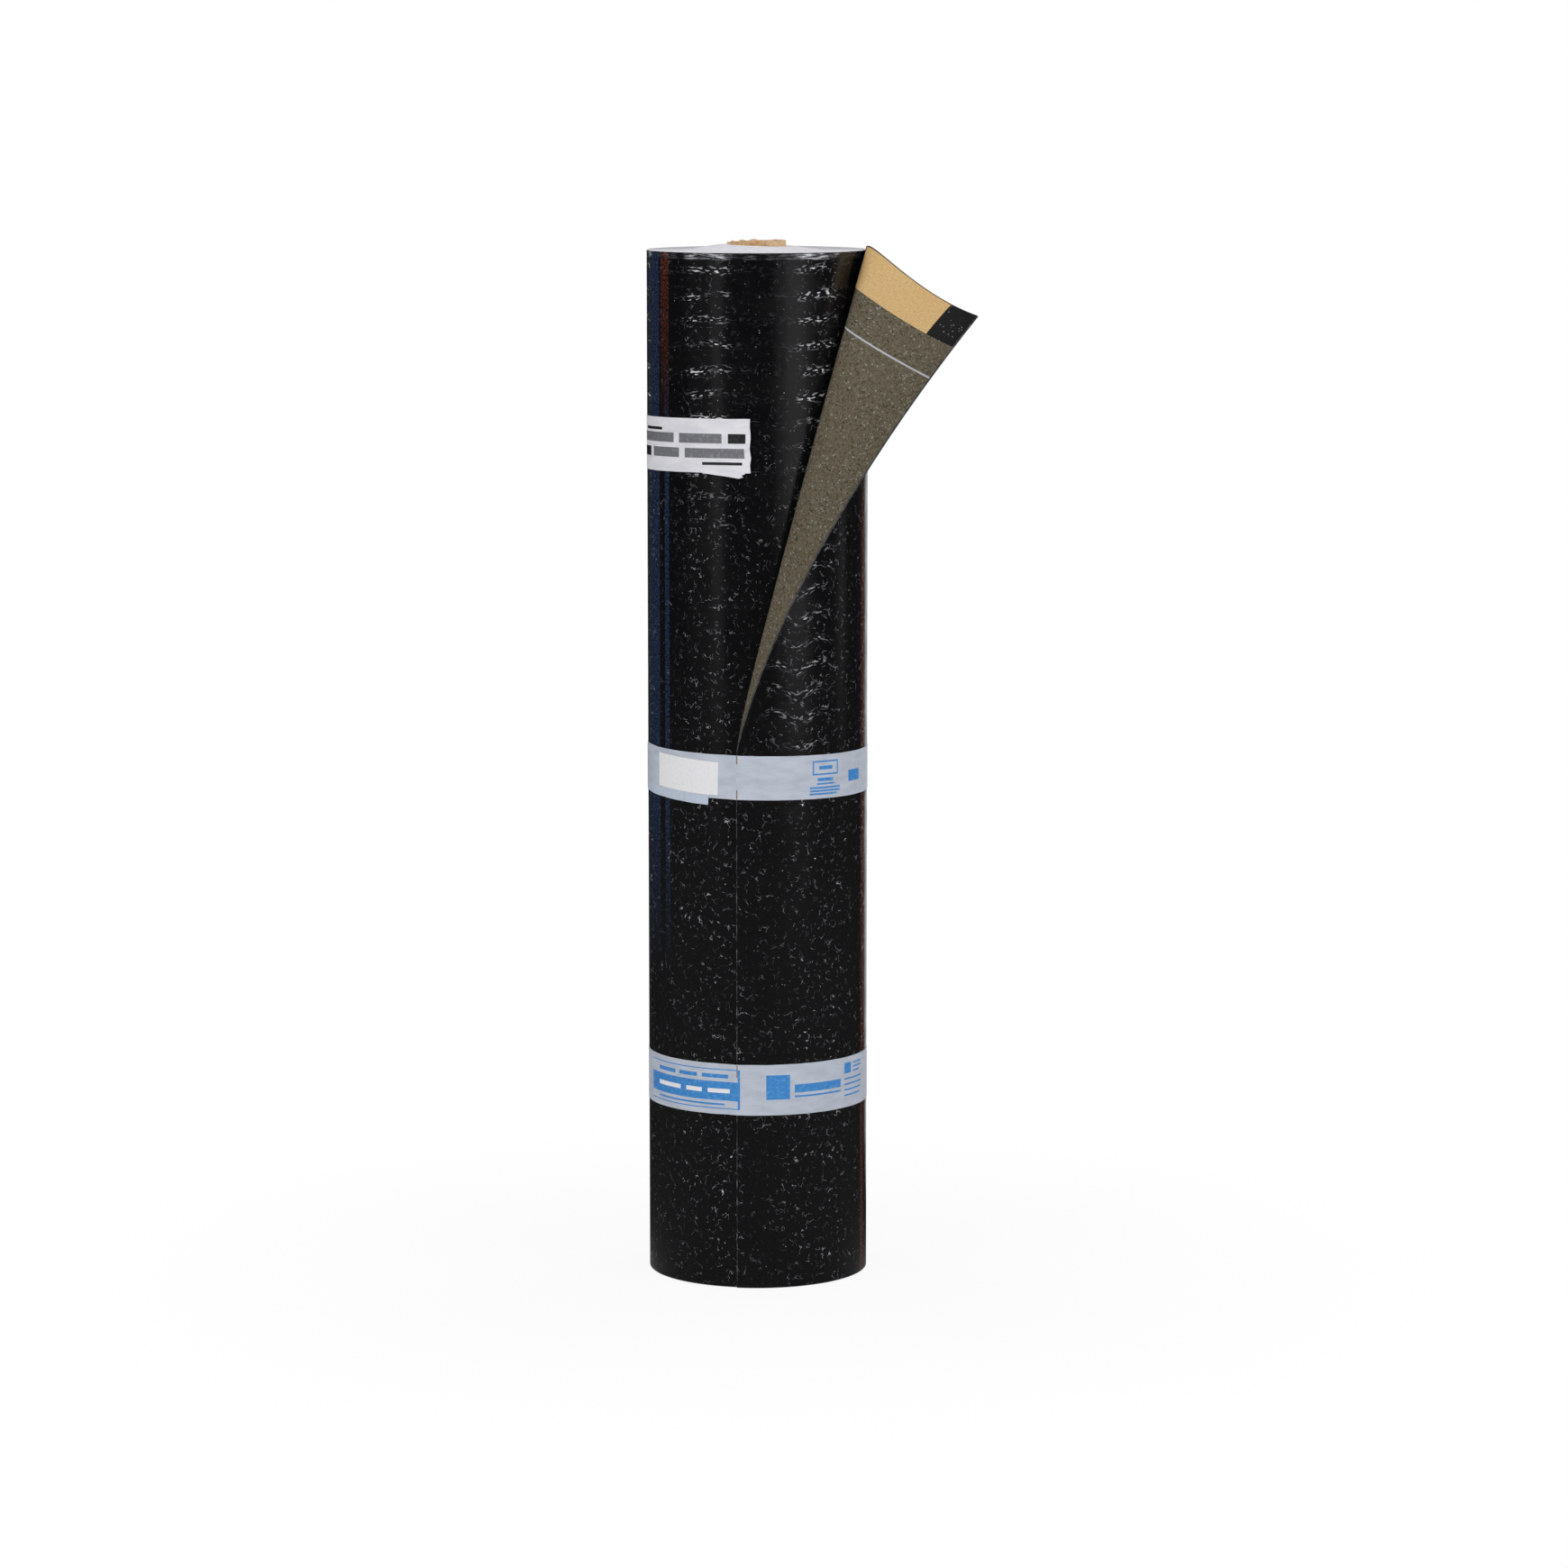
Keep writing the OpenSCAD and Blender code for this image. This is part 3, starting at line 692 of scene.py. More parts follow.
@dataclass
class PeeledCorner:
    """The top corner of the outer lap, which leaves the roll along a slanting line and is folded out to the right."""

    winding: Winding
    height: float = 522.0
    top_azimuth: float = 87.5
    middle_azimuth: float = 29.4
    corner: tuple[float, float, float] = (101.5, 10.3, 58.8)
    start_handle: tuple[float, float, float] = (28.6, 43.0, 134.3)
    end_handle: tuple[float, float, float] = (98.5, 44.0, 119.0)
    fold_handle: tuple[float, float] = (0.4, 0.1)
    fold_lift: tuple[float, float] = (0.01, 0.22)
    lie_handle: tuple[float, float] = (0.37, 0.216)
    turn: tuple[float, float] = (40.7, 16.0)
    opening: float = 0.021
    full_width: float = 22.0
    thinned_within: float = 0.15
    step_up: float = 0.004
    step_across: float = 0.03
    samples: int = 24
    _lines: dict[float, tuple[list[Vector], list[float]]] = field(default_factory=dict)

    def __post_init__(self) -> None:
        """Works out the free edge's curve and the plane along which the lap leaves the roll."""
        w = self.winding
        self.rise = w.width - self.height
        self.start = self.at_azimuth(w.free_edge, self.height)
        right, front, drop = self.corner
        tip = Vector((w.outer + right, -w.outer - front, w.width - drop))
        sx, sy, sz = self.start_handle
        self.edge = [self.start, self.start + Vector((sx, -sy, sz)), tip - Vector(self.end_handle), tip]
        top = self.at_azimuth(self.top_azimuth, 0) - self.at_azimuth(w.free_edge, 0)
        middle = self.at_azimuth(self.middle_azimuth, 0) - self.at_azimuth(w.free_edge, 0)
        across = top.x * middle.y - middle.x * top.y
        self.rise_x = self.rise * (middle.y - top.y / 2) / across
        self.rise_y = self.rise * (top.x / 2 - middle.x) / across

    def at_azimuth(self, azimuth: float, height: float) -> Vector:
        """Point of the lap's middle surface at an azimuth."""
        a = math.radians(azimuth)
        return Vector((self.winding.middle * math.sin(a), -self.winding.middle * math.cos(a), height))

    def leave_azimuth(self, share: float) -> float:
        """Azimuth at which the lap leaves the roll for a share of the peeled height."""
        reach = share * self.rise + self.rise_x * self.start.x + self.rise_y * self.start.y
        steepness = math.hypot(self.rise_x, self.rise_y) * self.winding.middle
        return math.degrees(math.asin(max(-1, min(1, reach / steepness))) - math.atan2(-self.rise_y, self.rise_x))

    def peeled_width(self, share: float) -> float:
        """Width of sheet that has left the roll at a share of the peeled height."""
        return self.winding.middle * math.radians(self.leave_azimuth(share) - self.winding.free_edge)

    def line(self, share: float) -> tuple[list[Vector], list[float]]:
        """Shapes one line of the flap, from the roll to the free edge.

        Args:
            share: Share of the peeled height.

        Returns:
            The cubic curve's four points, and its running length at even steps.
        """
        if share in self._lines:
            return self._lines[share]
        azimuth = self.leave_azimuth(share)
        width = self.peeled_width(share)
        a = math.radians(azimuth)
        leave = self.at_azimuth(azimuth, self.height + share * self.rise)
        heading = Vector((-math.cos(a), -math.sin(a), self.fold_lift[0] + self.fold_lift[1] * share))
        e, rest = self.edge, 1 - share
        along = rest * rest * (e[1] - e[0]) + 2 * rest * share * (e[2] - e[1]) + share * share * (e[3] - e[2])
        along.normalize()
        front = (Vector((0, -1, 0)) + along.y * along).normalized()
        right = along.cross(front)
        turn = math.radians(
            self.turn[0] + self.turn[1] * share + (180 - self.turn[0]) * math.exp(-share / self.opening)
        )
        finish = math.cos(turn) * right + math.sin(turn) * front
        edge = bezier(e, share)
        handles = [
            leave,
            leave + width * (self.fold_handle[0] + self.fold_handle[1] * share) * heading,
            edge - width * (self.lie_handle[0] + self.lie_handle[1] * share) * finish,
            edge,
        ]
        points = [bezier(handles, i / self.samples) for i in range(self.samples + 1)]
        lengths = [0.0]
        for before, after in zip(points, points[1:]):
            lengths.append(lengths[-1] + (after - before).length)
        self._lines[share] = (handles, lengths)
        return self._lines[share]

    def point(self, share: float, across: float) -> Vector:
        """Finds a point of the flap's middle surface.

        Args:
            share: Share of the peeled height.
            across: Share of the line's length from the roll to the free edge.

        Returns:
            The point.
        """
        handles, lengths = self.line(max(0.0, share))
        across = max(0.0, min(1.0, across))
        target = across * lengths[-1]
        step = 0
        while step < self.samples - 1 and lengths[step + 1] < target:
            step += 1
        part = (target - lengths[step]) / max(1e-9, lengths[step + 1] - lengths[step])
        return bezier(handles, (step + part) / self.samples)

    def normal(self, share: float, across: float) -> Vector:
        """Direction in which the sheet's film face looks at a point of the flap."""
        up = self.point(share + self.step_up, across) - self.point(share - self.step_up, across)
        sideways = self.point(share, across - self.step_across) - self.point(share, across + self.step_across)
        return sideways.cross(up).normalized()

    def place(self, share: float, across: float, side: float) -> Vector:
        """Finds a point in the flap's thickness.

        Args:
            share: Share of the peeled height.
            across: Share of the peeled width, from the roll.
            side: Distance from the middle of the sheet, positive on its film face.

        Returns:
            The point, in the roll's frame.
        """
        if side > 0:
            opened = min(1.0, self.peeled_width(share) / self.full_width)
            side *= 1 + (opened - 1) * min(1.0, across / self.thinned_within)
        return self.point(share, across) + side * self.normal(share, across)

    def gone(self, run: float, height: float) -> float:
        """How far a point of the sheet is from the line along which it leaves the roll, towards the free edge.

        Args:
            run: Where the point is along the sheet.
            height: Its height on the sheet.

        Returns:
            The distance, which is negative where the sheet is still on the roll.
        """
        share = (height - self.height) / self.rise
        if share <= 0 or run > 180:
            return -self.winding.outer
        return self.peeled_width(share) - self.winding.length(run)

    def lifted(self, gone: float, side: float, height: float) -> Vector:
        """Moves a point of the outer lap to where the peeled corner has it.

        Args:
            gone: Its distance from where the sheet leaves the roll.
            side: Its distance from the middle of the thickness.
            height: Its height on the sheet.

        Returns:
            The point in the roll's frame.
        """
        share = (height - self.height) / self.rise
        return self.place(share, gone / self.peeled_width(share), side)


# ---------------------------------------------------------------------------------------------- pieces


def mesh_object(name: str, bm: bmesh.types.BMesh, materials: Iterable[bpy.types.Material]) -> bpy.types.Object:
    """Makes an object of a shaped mesh.

    Args:
        name: The object's name.
        bm: The mesh. It is freed.
        materials: The materials in the order of the mesh's material numbers.

    Returns:
        The object.
    """
    mesh = bpy.data.meshes.new(name)
    bm.to_mesh(mesh)
    bm.free()
    for each in materials:
        mesh.materials.append(each)
    piece = bpy.data.objects.new(name, mesh)
    bpy.context.scene.collection.objects.link(piece)
    return piece


def finish_piece(
    name: str, bm: bmesh.types.BMesh, finishes: Iterable[Finish], slot: str, node: str, sharp: float = 35.0
) -> bpy.types.Object:
    """Makes an object of a shaped mesh, dresses it and puts it in the place of a CAD node.

    Args:
        name: The object's name.
        bm: The mesh in millimetres, in the roll's frame. It is freed.
        finishes: The finishes in the order of the mesh's material numbers.
        slot: The record's material slot; not used.
        node: The CAD node that it stands for.
        sharp: Angle between faces above which an edge stays sharp.

    Returns:
        The finished object.
    """
    bmesh.ops.scale(bm, vec=(METRE,) * 3, verts=bm.verts[:])
    piece = mesh_object(name, bm, (material(finish.name, finish.draw) for finish in finishes))
    piece.data.shade_smooth()
    piece.data.set_sharp_from_angle(angle=math.radians(sharp))
    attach(piece, "root")
    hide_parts(node)
    LOG.info("%s: %d faces", name, len(piece.data.polygons))
    return piece


def rule(bm: bmesh.types.BMesh, geometry: list, places: Iterable[float], way: Vector) -> list:
    """Cuts geometry with parallel planes.

    Args:
        bm: The mesh.
        geometry: The faces, edges and vertices to cut.
        places: Distances of the planes from the origin.
        way: Their normal.

    Returns:
        The geometry with what the cuts added.
    """
    for place in places:
        cut = bmesh.ops.bisect_plane(bm, geom=geometry, dist=1e-4, plane_co=way * place, plane_no=way)
        geometry = cut["geom"]
    return geometry


def map_sheet(bm: bmesh.types.BMesh, place: Callable[[Vert], tuple[float, float]]) -> None:
    """Gives every face corner its length and height on the sheet, in metres.

    Args:
        bm: The mesh.
        place: Gives a vertex's length and height in millimetres.
    """
    layer = bm.loops.layers.uv.new(UV_NAME)
    places = {vertex: place(vertex) for vertex in bm.verts}
    for face in bm.faces:
        for loop in face.loops:
            u, v = places[loop.vert]
            loop[layer].uv = (u * METRE, v * METRE)


@dataclass
class Membrane:
    """The wound sheet: one ribbon spun round the core turn by turn, with its outer corner peeled back."""

    winding: Winding
    peel: PeeledCorner
    chamfer: float = 0.32
    talc_and_sheen: tuple[float, float] = (0.5, 1.01)
    coarse_step: float = 6.0
    fine_step: float = 2.69
    fold_step: float = 1.35
    dense_from: float = 500.0
    fold_to: float = 132.0
    selvedge: float = 962.0
    rows: tuple[tuple[float, float, int], ...] = ((0.0, 515.0, 20), (515.0, 962.0, 55), (962.0, 1000.0, 6))
    stretch_middle: float = 12.0
    stretch_reach: float = 22.0
    telescoping: float = 0.25
    telescoped_height: float = 10.0
    level_until: float = 500.0
    loose_over: float = 400.0
    pushed: float = 4.2
    pushed_within: float = 74.0
    pushed_left: float = 0.22

    def build(self) -> bpy.types.Object:
        """Winds, numbers, peels and dresses the sheet.

        Returns:
            The finished object.
        """
        bm = bmesh.new()
        stretched = bm.verts.layers.float.new(STRETCHED)
        self._wind(bm)
        bmesh.ops.recalc_face_normals(bm, faces=bm.faces[:])
        places = {vertex: (*self.winding.run_of(vertex.co), vertex.co.z) for vertex in bm.verts}
        for face in bm.faces:
            face.material_index = self._finish_of([places[vertex] for vertex in face.verts])
        map_sheet(bm, lambda vertex: (self.winding.length(places[vertex][0]), places[vertex][2]))
        bmesh.ops.transform(bm, matrix=self.winding.to_roll(), verts=bm.verts[:])
        for vertex, (run, side, height) in places.items():
            gone = self.peel.gone(run, height)
            vertex[stretched] = max(0.0, min(1.0, 1 - abs(gone - self.stretch_middle) / self.stretch_reach))
            if gone > 0:
                vertex.co = self.peel.lifted(gone, side, height)
            else:
                vertex.co.z += self._telescoped(run, height) + self._pushed_up(vertex.co)
        edge = CutBitumen("cut_bitumen_edge", (0.02, 0.1), 0.0, roughness=0.75, specular=0.08)
        # The roll's ends are drawn near-white: real talc and a painted sheen together.
        end = CutBitumen("talc_and_painted_sheen_roll_end", (0.82, 1.0), 1.0, roughness=0.8, specular=0.08)
        finishes = (FilmFacedBitumen(), SandedBitumen(), SelvedgeBitumen(), edge, end)
        return finish_piece("membrane_sheet", bm, finishes, "bitumen_sheet", "membrane")

    def _wind(self, bm: bmesh.types.BMesh) -> None:
        """Spins the sheet's section from the core outwards, a half turn at a time."""
        w = self.winding
        upright = Matrix.Rotation(math.radians(90), 4, "X")
        bmesh.ops.create_grid(bm, x_segments=1, y_segments=1, size=0.5, matrix=upright)
        bmesh.ops.scale(bm, vec=(w.thickness, 1, w.width), verts=bm.verts[:])
        bmesh.ops.bevel(
            bm,
            geom=bm.verts[:],
            offset=self.chamfer,
            offset_type="OFFSET",
            segments=1,
            profile=0.5,
            affect="VERTICES",
            material=-1,
        )
        bmesh.ops.rotate(bm, cent=(0, 0, 0), matrix=Matrix.Rotation(math.pi, 3, "Z"), verts=bm.verts[:])
        bmesh.ops.translate(bm, vec=w.point(w.first_run, 0, w.width / 2), verts=bm.verts[:])
        section = bm.faces[:] + bm.edges[:] + bm.verts[:]
        run = w.first_run
        while run > w.lead:
            half_turn = math.ceil(run / 180) - 1
            stops = [s for s in (half_turn * 180.0, self.dense_from, self.fold_to, w.lead) if s < run]
            end = max(stops)
            step = self.coarse_step
            if run <= self.dense_from:
                step = self.fine_step if run > self.fold_to else self.fold_step
            if run == self.dense_from:
                way = Vector((0, 0, 1))
                for low, high, count in self.rows:
                    section = rule(bm, section, [low + (high - low) * i / count for i in range(1, count + 1)], way)
            spun = bmesh.ops.spin(
                bm,
                geom=section,
                cent=w.centre(half_turn),
                axis=(0, 0, 1),
                angle=math.radians(end - run),
                steps=max(1, round((run - end) / step)),
                use_merge=False,
                use_duplicate=False,
            )
            section = spun["geom_last"]
            run = end

    def _finish_of(self, corners: list[tuple[float, float, float]]) -> int:
        """Chooses the finish of a face.

        Args:
            corners: Run, side and height of its corners.

        Returns:
            The number of the finish.
        """
        skin = 0.9 * self.winding.thickness / 2
        if all(side > skin for _, side, _ in corners):
            return 0
        if all(side < -skin for _, side, _ in corners):
            return 1 if sum(height for _, _, height in corners) / len(corners) < self.selvedge else 2
        depth = max(min(height, self.winding.width - height) for _, _, height in corners)
        # Talc, drawn near-white and so partly a painted sheen, lies on the end and on each turn's outer corner; the
        # inner corner stays bare and parts the turns.
        outer = sum(side for _, side, _ in corners) > 0
        talc_and_sheen = depth < self.talc_and_sheen[outer] * self.chamfer
        return 4 if talc_and_sheen and all(self.peel.gone(run, height) <= 0 for run, _, height in corners) else 3

    def _telescoped(self, run: float, height: float) -> float:
        """How far a turn's end lies inside the roll's ends, because the turns are never wound quite level."""
        near_top = max(0.0, 1 - (self.winding.width - height) / self.telescoped_height)
        near_floor = max(0.0, 1 - height / self.telescoped_height)
        inside = max(0.0, min(1.0, (run - self.level_until) / self.loose_over))
        wander = 0.5 + 0.5 * noise.noise(Vector((run / 900, 4.2, near_floor * 9)))
        return self.telescoping * inside * wander * (near_floor - near_top)

    def _pushed_up(self, point: Vector) -> float:
        """How far a turn stands above its place, because the core and the inner turns were pushed up on the left."""
        radius = point.xy.length
        core = self.winding.core_radius
        share = max(0.0, 1 - (radius - core) / (self.pushed_within - core))
        left = -point.x / max(radius, 1.0)
        return self.pushed * share * share * (3 - 2 * share) * (1 + self.pushed_left * left)


@dataclass
class CoreTube:
    """The cardboard tube that the sheet is wound on. Its top end is torn and stands above the roll."""

    winding: Winding
    wall: float = 3.0
    recess: float = 2.0
    rise: float = 9.0
    torn: float = 8.0
    ragged: float = 1.6
    coarse_fray: float = 5.0
    fine_fray: float = 17.0
    steps: int = 180
    rows: tuple[float, ...] = (300.0, 600.0, 900.0, 990.0, 998.0, 1000.0)
    tear: tuple[tuple[float, float], ...] = (
        (-180.0, 0.1),
        (-140.0, 0.2),
        (-104.0, 0.26),
        (-84.0, 0.4),
        (-60.0, 0.9),
        (-6.0, 0.95),
        (14.0, 0.8),
        (22.0, 0.1),
        (120.0, 0.0),
        (180.0, 0.2),
    )

    def build(self) -> bpy.types.Object:
        """Spins the tube, frays its top end and dresses it.

        Returns:
            The finished object.
        """
        w = self.winding
        bm = bmesh.new()
        upright = Matrix.Rotation(math.radians(90), 4, "X")
        bmesh.ops.create_grid(bm, x_segments=4, y_segments=1, size=0.5, matrix=upright)
        height = w.width + self.rise - self.recess
        bmesh.ops.scale(bm, vec=(self.wall, 1, height), verts=bm.verts[:])
        middle = Vector((w.core_radius - self.wall / 2, 0, self.recess + height / 2))
        bmesh.ops.translate(bm, vec=middle, verts=bm.verts[:])
        section = rule(bm, bm.faces[:] + bm.edges[:] + bm.verts[:], self.rows, Vector((0, 0, 1)))
        outline = [e for e in section if isinstance(e, bmesh.types.BMEdge) and e.is_boundary]
        bmesh.ops.delete(bm, geom=bm.faces[:], context="FACES_ONLY")
        bmesh.ops.delete(bm, geom=[e for e in bm.edges if e not in outline], context="EDGES")
        bmesh.ops.spin(
            bm,
            geom=bm.edges[:] + bm.verts[:],
            cent=(0, 0, 0),
            axis=(0, 0, 1),
            angle=math.tau,
            steps=self.steps,
            use_merge=True,
            use_duplicate=False,
        )
        bmesh.ops.remove_doubles(bm, verts=bm.verts[:], dist=1e-3)
        bmesh.ops.recalc_face_normals(bm, faces=bm.faces[:])
        top = w.width + self.rise - 0.01
        for vertex in bm.verts:
            if vertex.co.z > top:
                vertex.co.z -= self._torn_away(vertex.co)
        return finish_piece("core_board_tube", bm, [CoreBoard()], "cardboard_core", "core_tube", sharp=50.0)

    def _torn_away(self, point: Vector) -> float:
        """How much board is torn off the top end at a point: most at the front left, and in small ragged steps."""
        azimuth = math.degrees(math.atan2(point.x, -point.y))
        for (start, low), (end, high) in zip(self.tear, self.tear[1:]):
            if start <= azimuth <= end:
                depth = low + (high - low) * (azimuth - start) / (end - start)
                break
        around = Vector((*point.xy.normalized(), point.xy.length / 12))
        ragged = noise.noise(around * self.coarse_fray) + 0.6 * noise.noise(around * self.fine_fray)
        return max(0.0, min(self.torn, self.torn * depth + self.ragged * ragged * (depth > 0.05)))


@dataclass
class FilmStrip:
    """The release film along the sheet's top edge, from a first share of the peel's width to short of the free edge."""

    peel: PeeledCorner
    width: float = 38.0
    set_back: float = 36.5
    thickness: float = 0.3
    clear: float = 0.1
    below_edge: float = 1.2
    first: float = 4 / 19
    columns: int = 48
    rows: int = 14

    def build(self) -> bpy.types.Object:
        """Lays the strip on the flap's underside and dresses it.

        Returns:
            The finished object.
        """
        bm = bmesh.new()
        bmesh.ops.create_grid(bm, x_segments=self.columns, y_segments=self.rows, size=0.5)
        bmesh.ops.translate(bm, vec=(0.5, 0.5, 0), verts=bm.verts[:])
        bmesh.ops.solidify(bm, geom=bm.faces[:], thickness=-1.0)
        bmesh.ops.recalc_face_normals(bm, faces=bm.faces[:])
        low = 1 - self.width / self.peel.rise
        high = 1 - self.below_edge / self.peel.rise
        base = min(vertex.co.z for vertex in bm.verts)
        sheet = self.peel.winding
        lengths = {}
        for vertex in bm.verts:
            share = low + (high - low) * vertex.co.y
            width = self.peel.peeled_width(share)
            knee = 1 - self.set_back / width
            across = knee * (self.first + (1 - self.first) * vertex.co.x)
            depth = sheet.thickness / 2 + self.clear + self.thickness * (vertex.co.z - base)
            lengths[vertex] = (width * (1 - across), self.peel.height + share * self.peel.rise)
            vertex.co = self.peel.place(share, across, -depth)
        map_sheet(bm, lambda vertex: lengths[vertex])
        bmesh.ops.recalc_face_normals(bm, faces=bm.faces[:])
        return finish_piece("release_film_strip", bm, [ReleaseFilm()], "release_strip", "release_film")


@dataclass(frozen=True)
class Mark:
    """A plain printed rectangle, between two azimuths and two heights over the tape's middle line."""

    start: float
    end: float
    low: float
    high: float
    ink: Ink = Ink.BLUE


def blocks(ink: Ink, *sides: tuple[float, float, float, float]) -> tuple[Mark, ...]:
    """Marks of one ink, each from its left and right azimuths and its lower and upper heights."""
    return tuple(Mark(*side, ink) for side in sides)


# Length on the roll's outer lap for a degree of azimuth.
MM_PER_DEGREE = 1.88


def frame_of(start: float, end: float, low: float, high: float, line: float) -> tuple[Mark, ...]:
    """Four thin marks round a rectangle.

    Args:
        start: Its left azimuth.
        end: Its right azimuth.
        low: Its lower height.
        high: Its upper height.
        line: Width of its lines, in millimetres.

    Returns:
        The four marks.
    """
    angle = line / MM_PER_DEGREE
    return (
        Mark(start, end, high - line, high),
        Mark(start, end, low, low + line),
        Mark(start, start + angle, low, high),
        Mark(end - angle, end, low, high),
    )


@dataclass(frozen=True)
class Strip:
    """One length of tape on the roll's outer surface.

    Pitch and roll tilt it front to back and left to right, slope is the run over which it climbs the free edge's
    step, and a torn end is an outline of heights, as shares of half the width, with how far the end stands out there.
    """

    height: float
    width: float
    start: float
    end: float
    pitch: float = 0.0
    roll: float = 0.0
    lift: float = 0.02
    thickness: float = 0.28
    slope: float = 5.0
    torn_start: tuple[tuple[float, float], ...] = ()
    torn_end: tuple[tuple[float, float], ...] = ()
    marks: tuple[Mark, ...] = ()
    column: float = 2.6
    torn_within: float = 6.0

    @property
    def closed(self) -> bool:
        """Whether the strip meets itself."""
        return abs(self.end - self.start - 360) < 1e-6


@dataclass
class Tape:
    """A printed packing tape round the roll, in one or more lengths."""

    name: str
    node: str
    slot: str
    winding: Winding
    film: TapeFilm
    strips: tuple[Strip, ...]
    rows: int = 8
    waviness: float = 0.22

    def build(self) -> bpy.types.Object:
        """Cuts, prints and lays every strip.

        Returns:
            The finished object.
        """
        bm = bmesh.new()
        lengths: dict[Vert, tuple[float, float]] = {}
        for strip in self.strips:
            self._lay(bm, strip, lengths)
        map_sheet(bm, lambda vertex: lengths[vertex])
        bmesh.ops.remove_doubles(bm, verts=bm.verts[:], dist=1e-3)
        bmesh.ops.recalc_face_normals(bm, faces=bm.faces[:])
        bmesh.ops.transform(bm, matrix=self.winding.to_roll(), verts=bm.verts[:])
        finishes = [self.film, *(ink.value for ink in Ink)]
        return finish_piece(self.name, bm, finishes, self.slot, self.node)

    def _lay(self, bm: bmesh.types.BMesh, strip: Strip, lengths: dict[Vert, tuple[float, float]]) -> None:
        """Cuts a strip flat, with a degree of run as one unit of length, and bends it round the roll.

        Args:
            bm: The tape's mesh.
            strip: The strip.
            lengths: Gets each new vertex's place on the tape.
        """
        before = set(bm.verts), set(bm.faces)
        columns = round((strip.end - strip.start) / strip.column)
        bmesh.ops.create_grid(bm, x_segments=columns, y_segments=self.rows, size=0.5)
        new = [v for v in bm.verts if v not in before[0]]
        bmesh.ops.scale(bm, vec=(strip.end - strip.start, strip.width, 1), verts=new)
        bmesh.ops.translate(bm, vec=((strip.end + strip.start) / 2, 0, 0), verts=new)
        faces = [f for f in bm.faces if f not in before[1]]
        self._print(bm, strip, faces)
        faces = [f for f in bm.faces if f not in before[1]]
        bmesh.ops.solidify(bm, geom=faces, thickness=-1.0)
        if strip.closed:
            ends = [v for v in bm.verts if min(abs(v.co.x - strip.start), abs(v.co.x - strip.end)) < 1e-4]
            caps = {f for v in ends if v not in before[0] for f in v.link_faces}
            bmesh.ops.delete(bm, geom=[f for f in caps if set(f.verts) <= set(ends)], context="FACES_ONLY")
        new = [v for v in bm.verts if v not in before[0]]
        base = min(vertex.co.z for vertex in new)
        outer = self.winding.pitch / 2
        turn = self.winding.to_roll()
        half = strip.width / 2
        for vertex in new:
            x, y, level = vertex.co.x, vertex.co.y, vertex.co.z - base
            x = self._torn(strip, x, y / half)
            run = self.winding.run_at(x) + (0 if strip.closed else 360)
            step = min(1.0, max(0.0, 1 + (run - self.winding.lead - 360) / strip.slope))
            offset = outer + strip.lift + strip.thickness * level + self.winding.pitch * step
            point = self.winding.point(run, offset, 0)
            lengths[vertex] = (math.radians(x) * self.winding.outer, y)
            rolled = turn @ point
            middle = (
                strip.height
                - (rolled.y + self.winding.outer) * math.tan(math.radians(strip.pitch))
                - rolled.x * math.tan(math.radians(strip.roll))
            )
            round_roll = Vector((math.cos(math.radians(x)), math.sin(math.radians(x)), strip.height / 8))
            wavy = self.waviness * noise.noise(round_roll * 8) * (y / half) ** 3
            vertex.co = (point.x, point.y, middle + y + wavy)

    def _print(self, bm: bmesh.types.BMesh, strip: Strip, faces: list[bmesh.types.BMFace]) -> None:
        """Cuts the flat strip along the sides of its marks and numbers the faces inside them."""
        if not strip.marks:
            return
        geometry = faces + list({e for f in faces for e in f.edges}) + list({v for f in faces for v in f.verts})
        sides = sorted({side for mark in strip.marks for side in (mark.start, mark.end)})
        levels = sorted({level for mark in strip.marks for level in (mark.low, mark.high)})
        geometry = rule(bm, geometry, sides, Vector((1, 0, 0)))
        geometry = rule(bm, geometry, levels, Vector((0, 1, 0)))
        inks = list(Ink)
        for face in (g for g in geometry if isinstance(g, bmesh.types.BMFace)):
            centre = face.calc_center_median()
            for mark in strip.marks:
                if mark.start < centre.x < mark.end and mark.low < centre.y < mark.high:
                    face.material_index = 1 + inks.index(mark.ink)

    @staticmethod
    def _torn(strip: Strip, x: float, level: float) -> float:
        """Moves the ends of a strip to their torn outlines.

        Args:
            strip: The strip.
            x: Azimuth on the flat strip.
            level: Height over its middle, as a share of half its width.

        Returns:
            The azimuth on the torn strip.
        """
        for outline, end, sign in ((strip.torn_end, strip.end, 1), (strip.torn_start, strip.start, -1)):
            near = 1 - min(1.0, abs(x - end) / strip.torn_within)
            if outline and near > 0:
                upper = next((i for i, (y, _) in enumerate(outline) if y >= level), len(outline) - 1)
                (y0, d0), (y1, d1) = outline[max(0, upper - 1)], outline[upper]
                part = 0 if y1 == y0 else (level - y0) / (y1 - y0)
                x += sign * near * (d0 + (d1 - d0) * part)
        return x


# ---------------------------------------------------------------------------------------------- studio


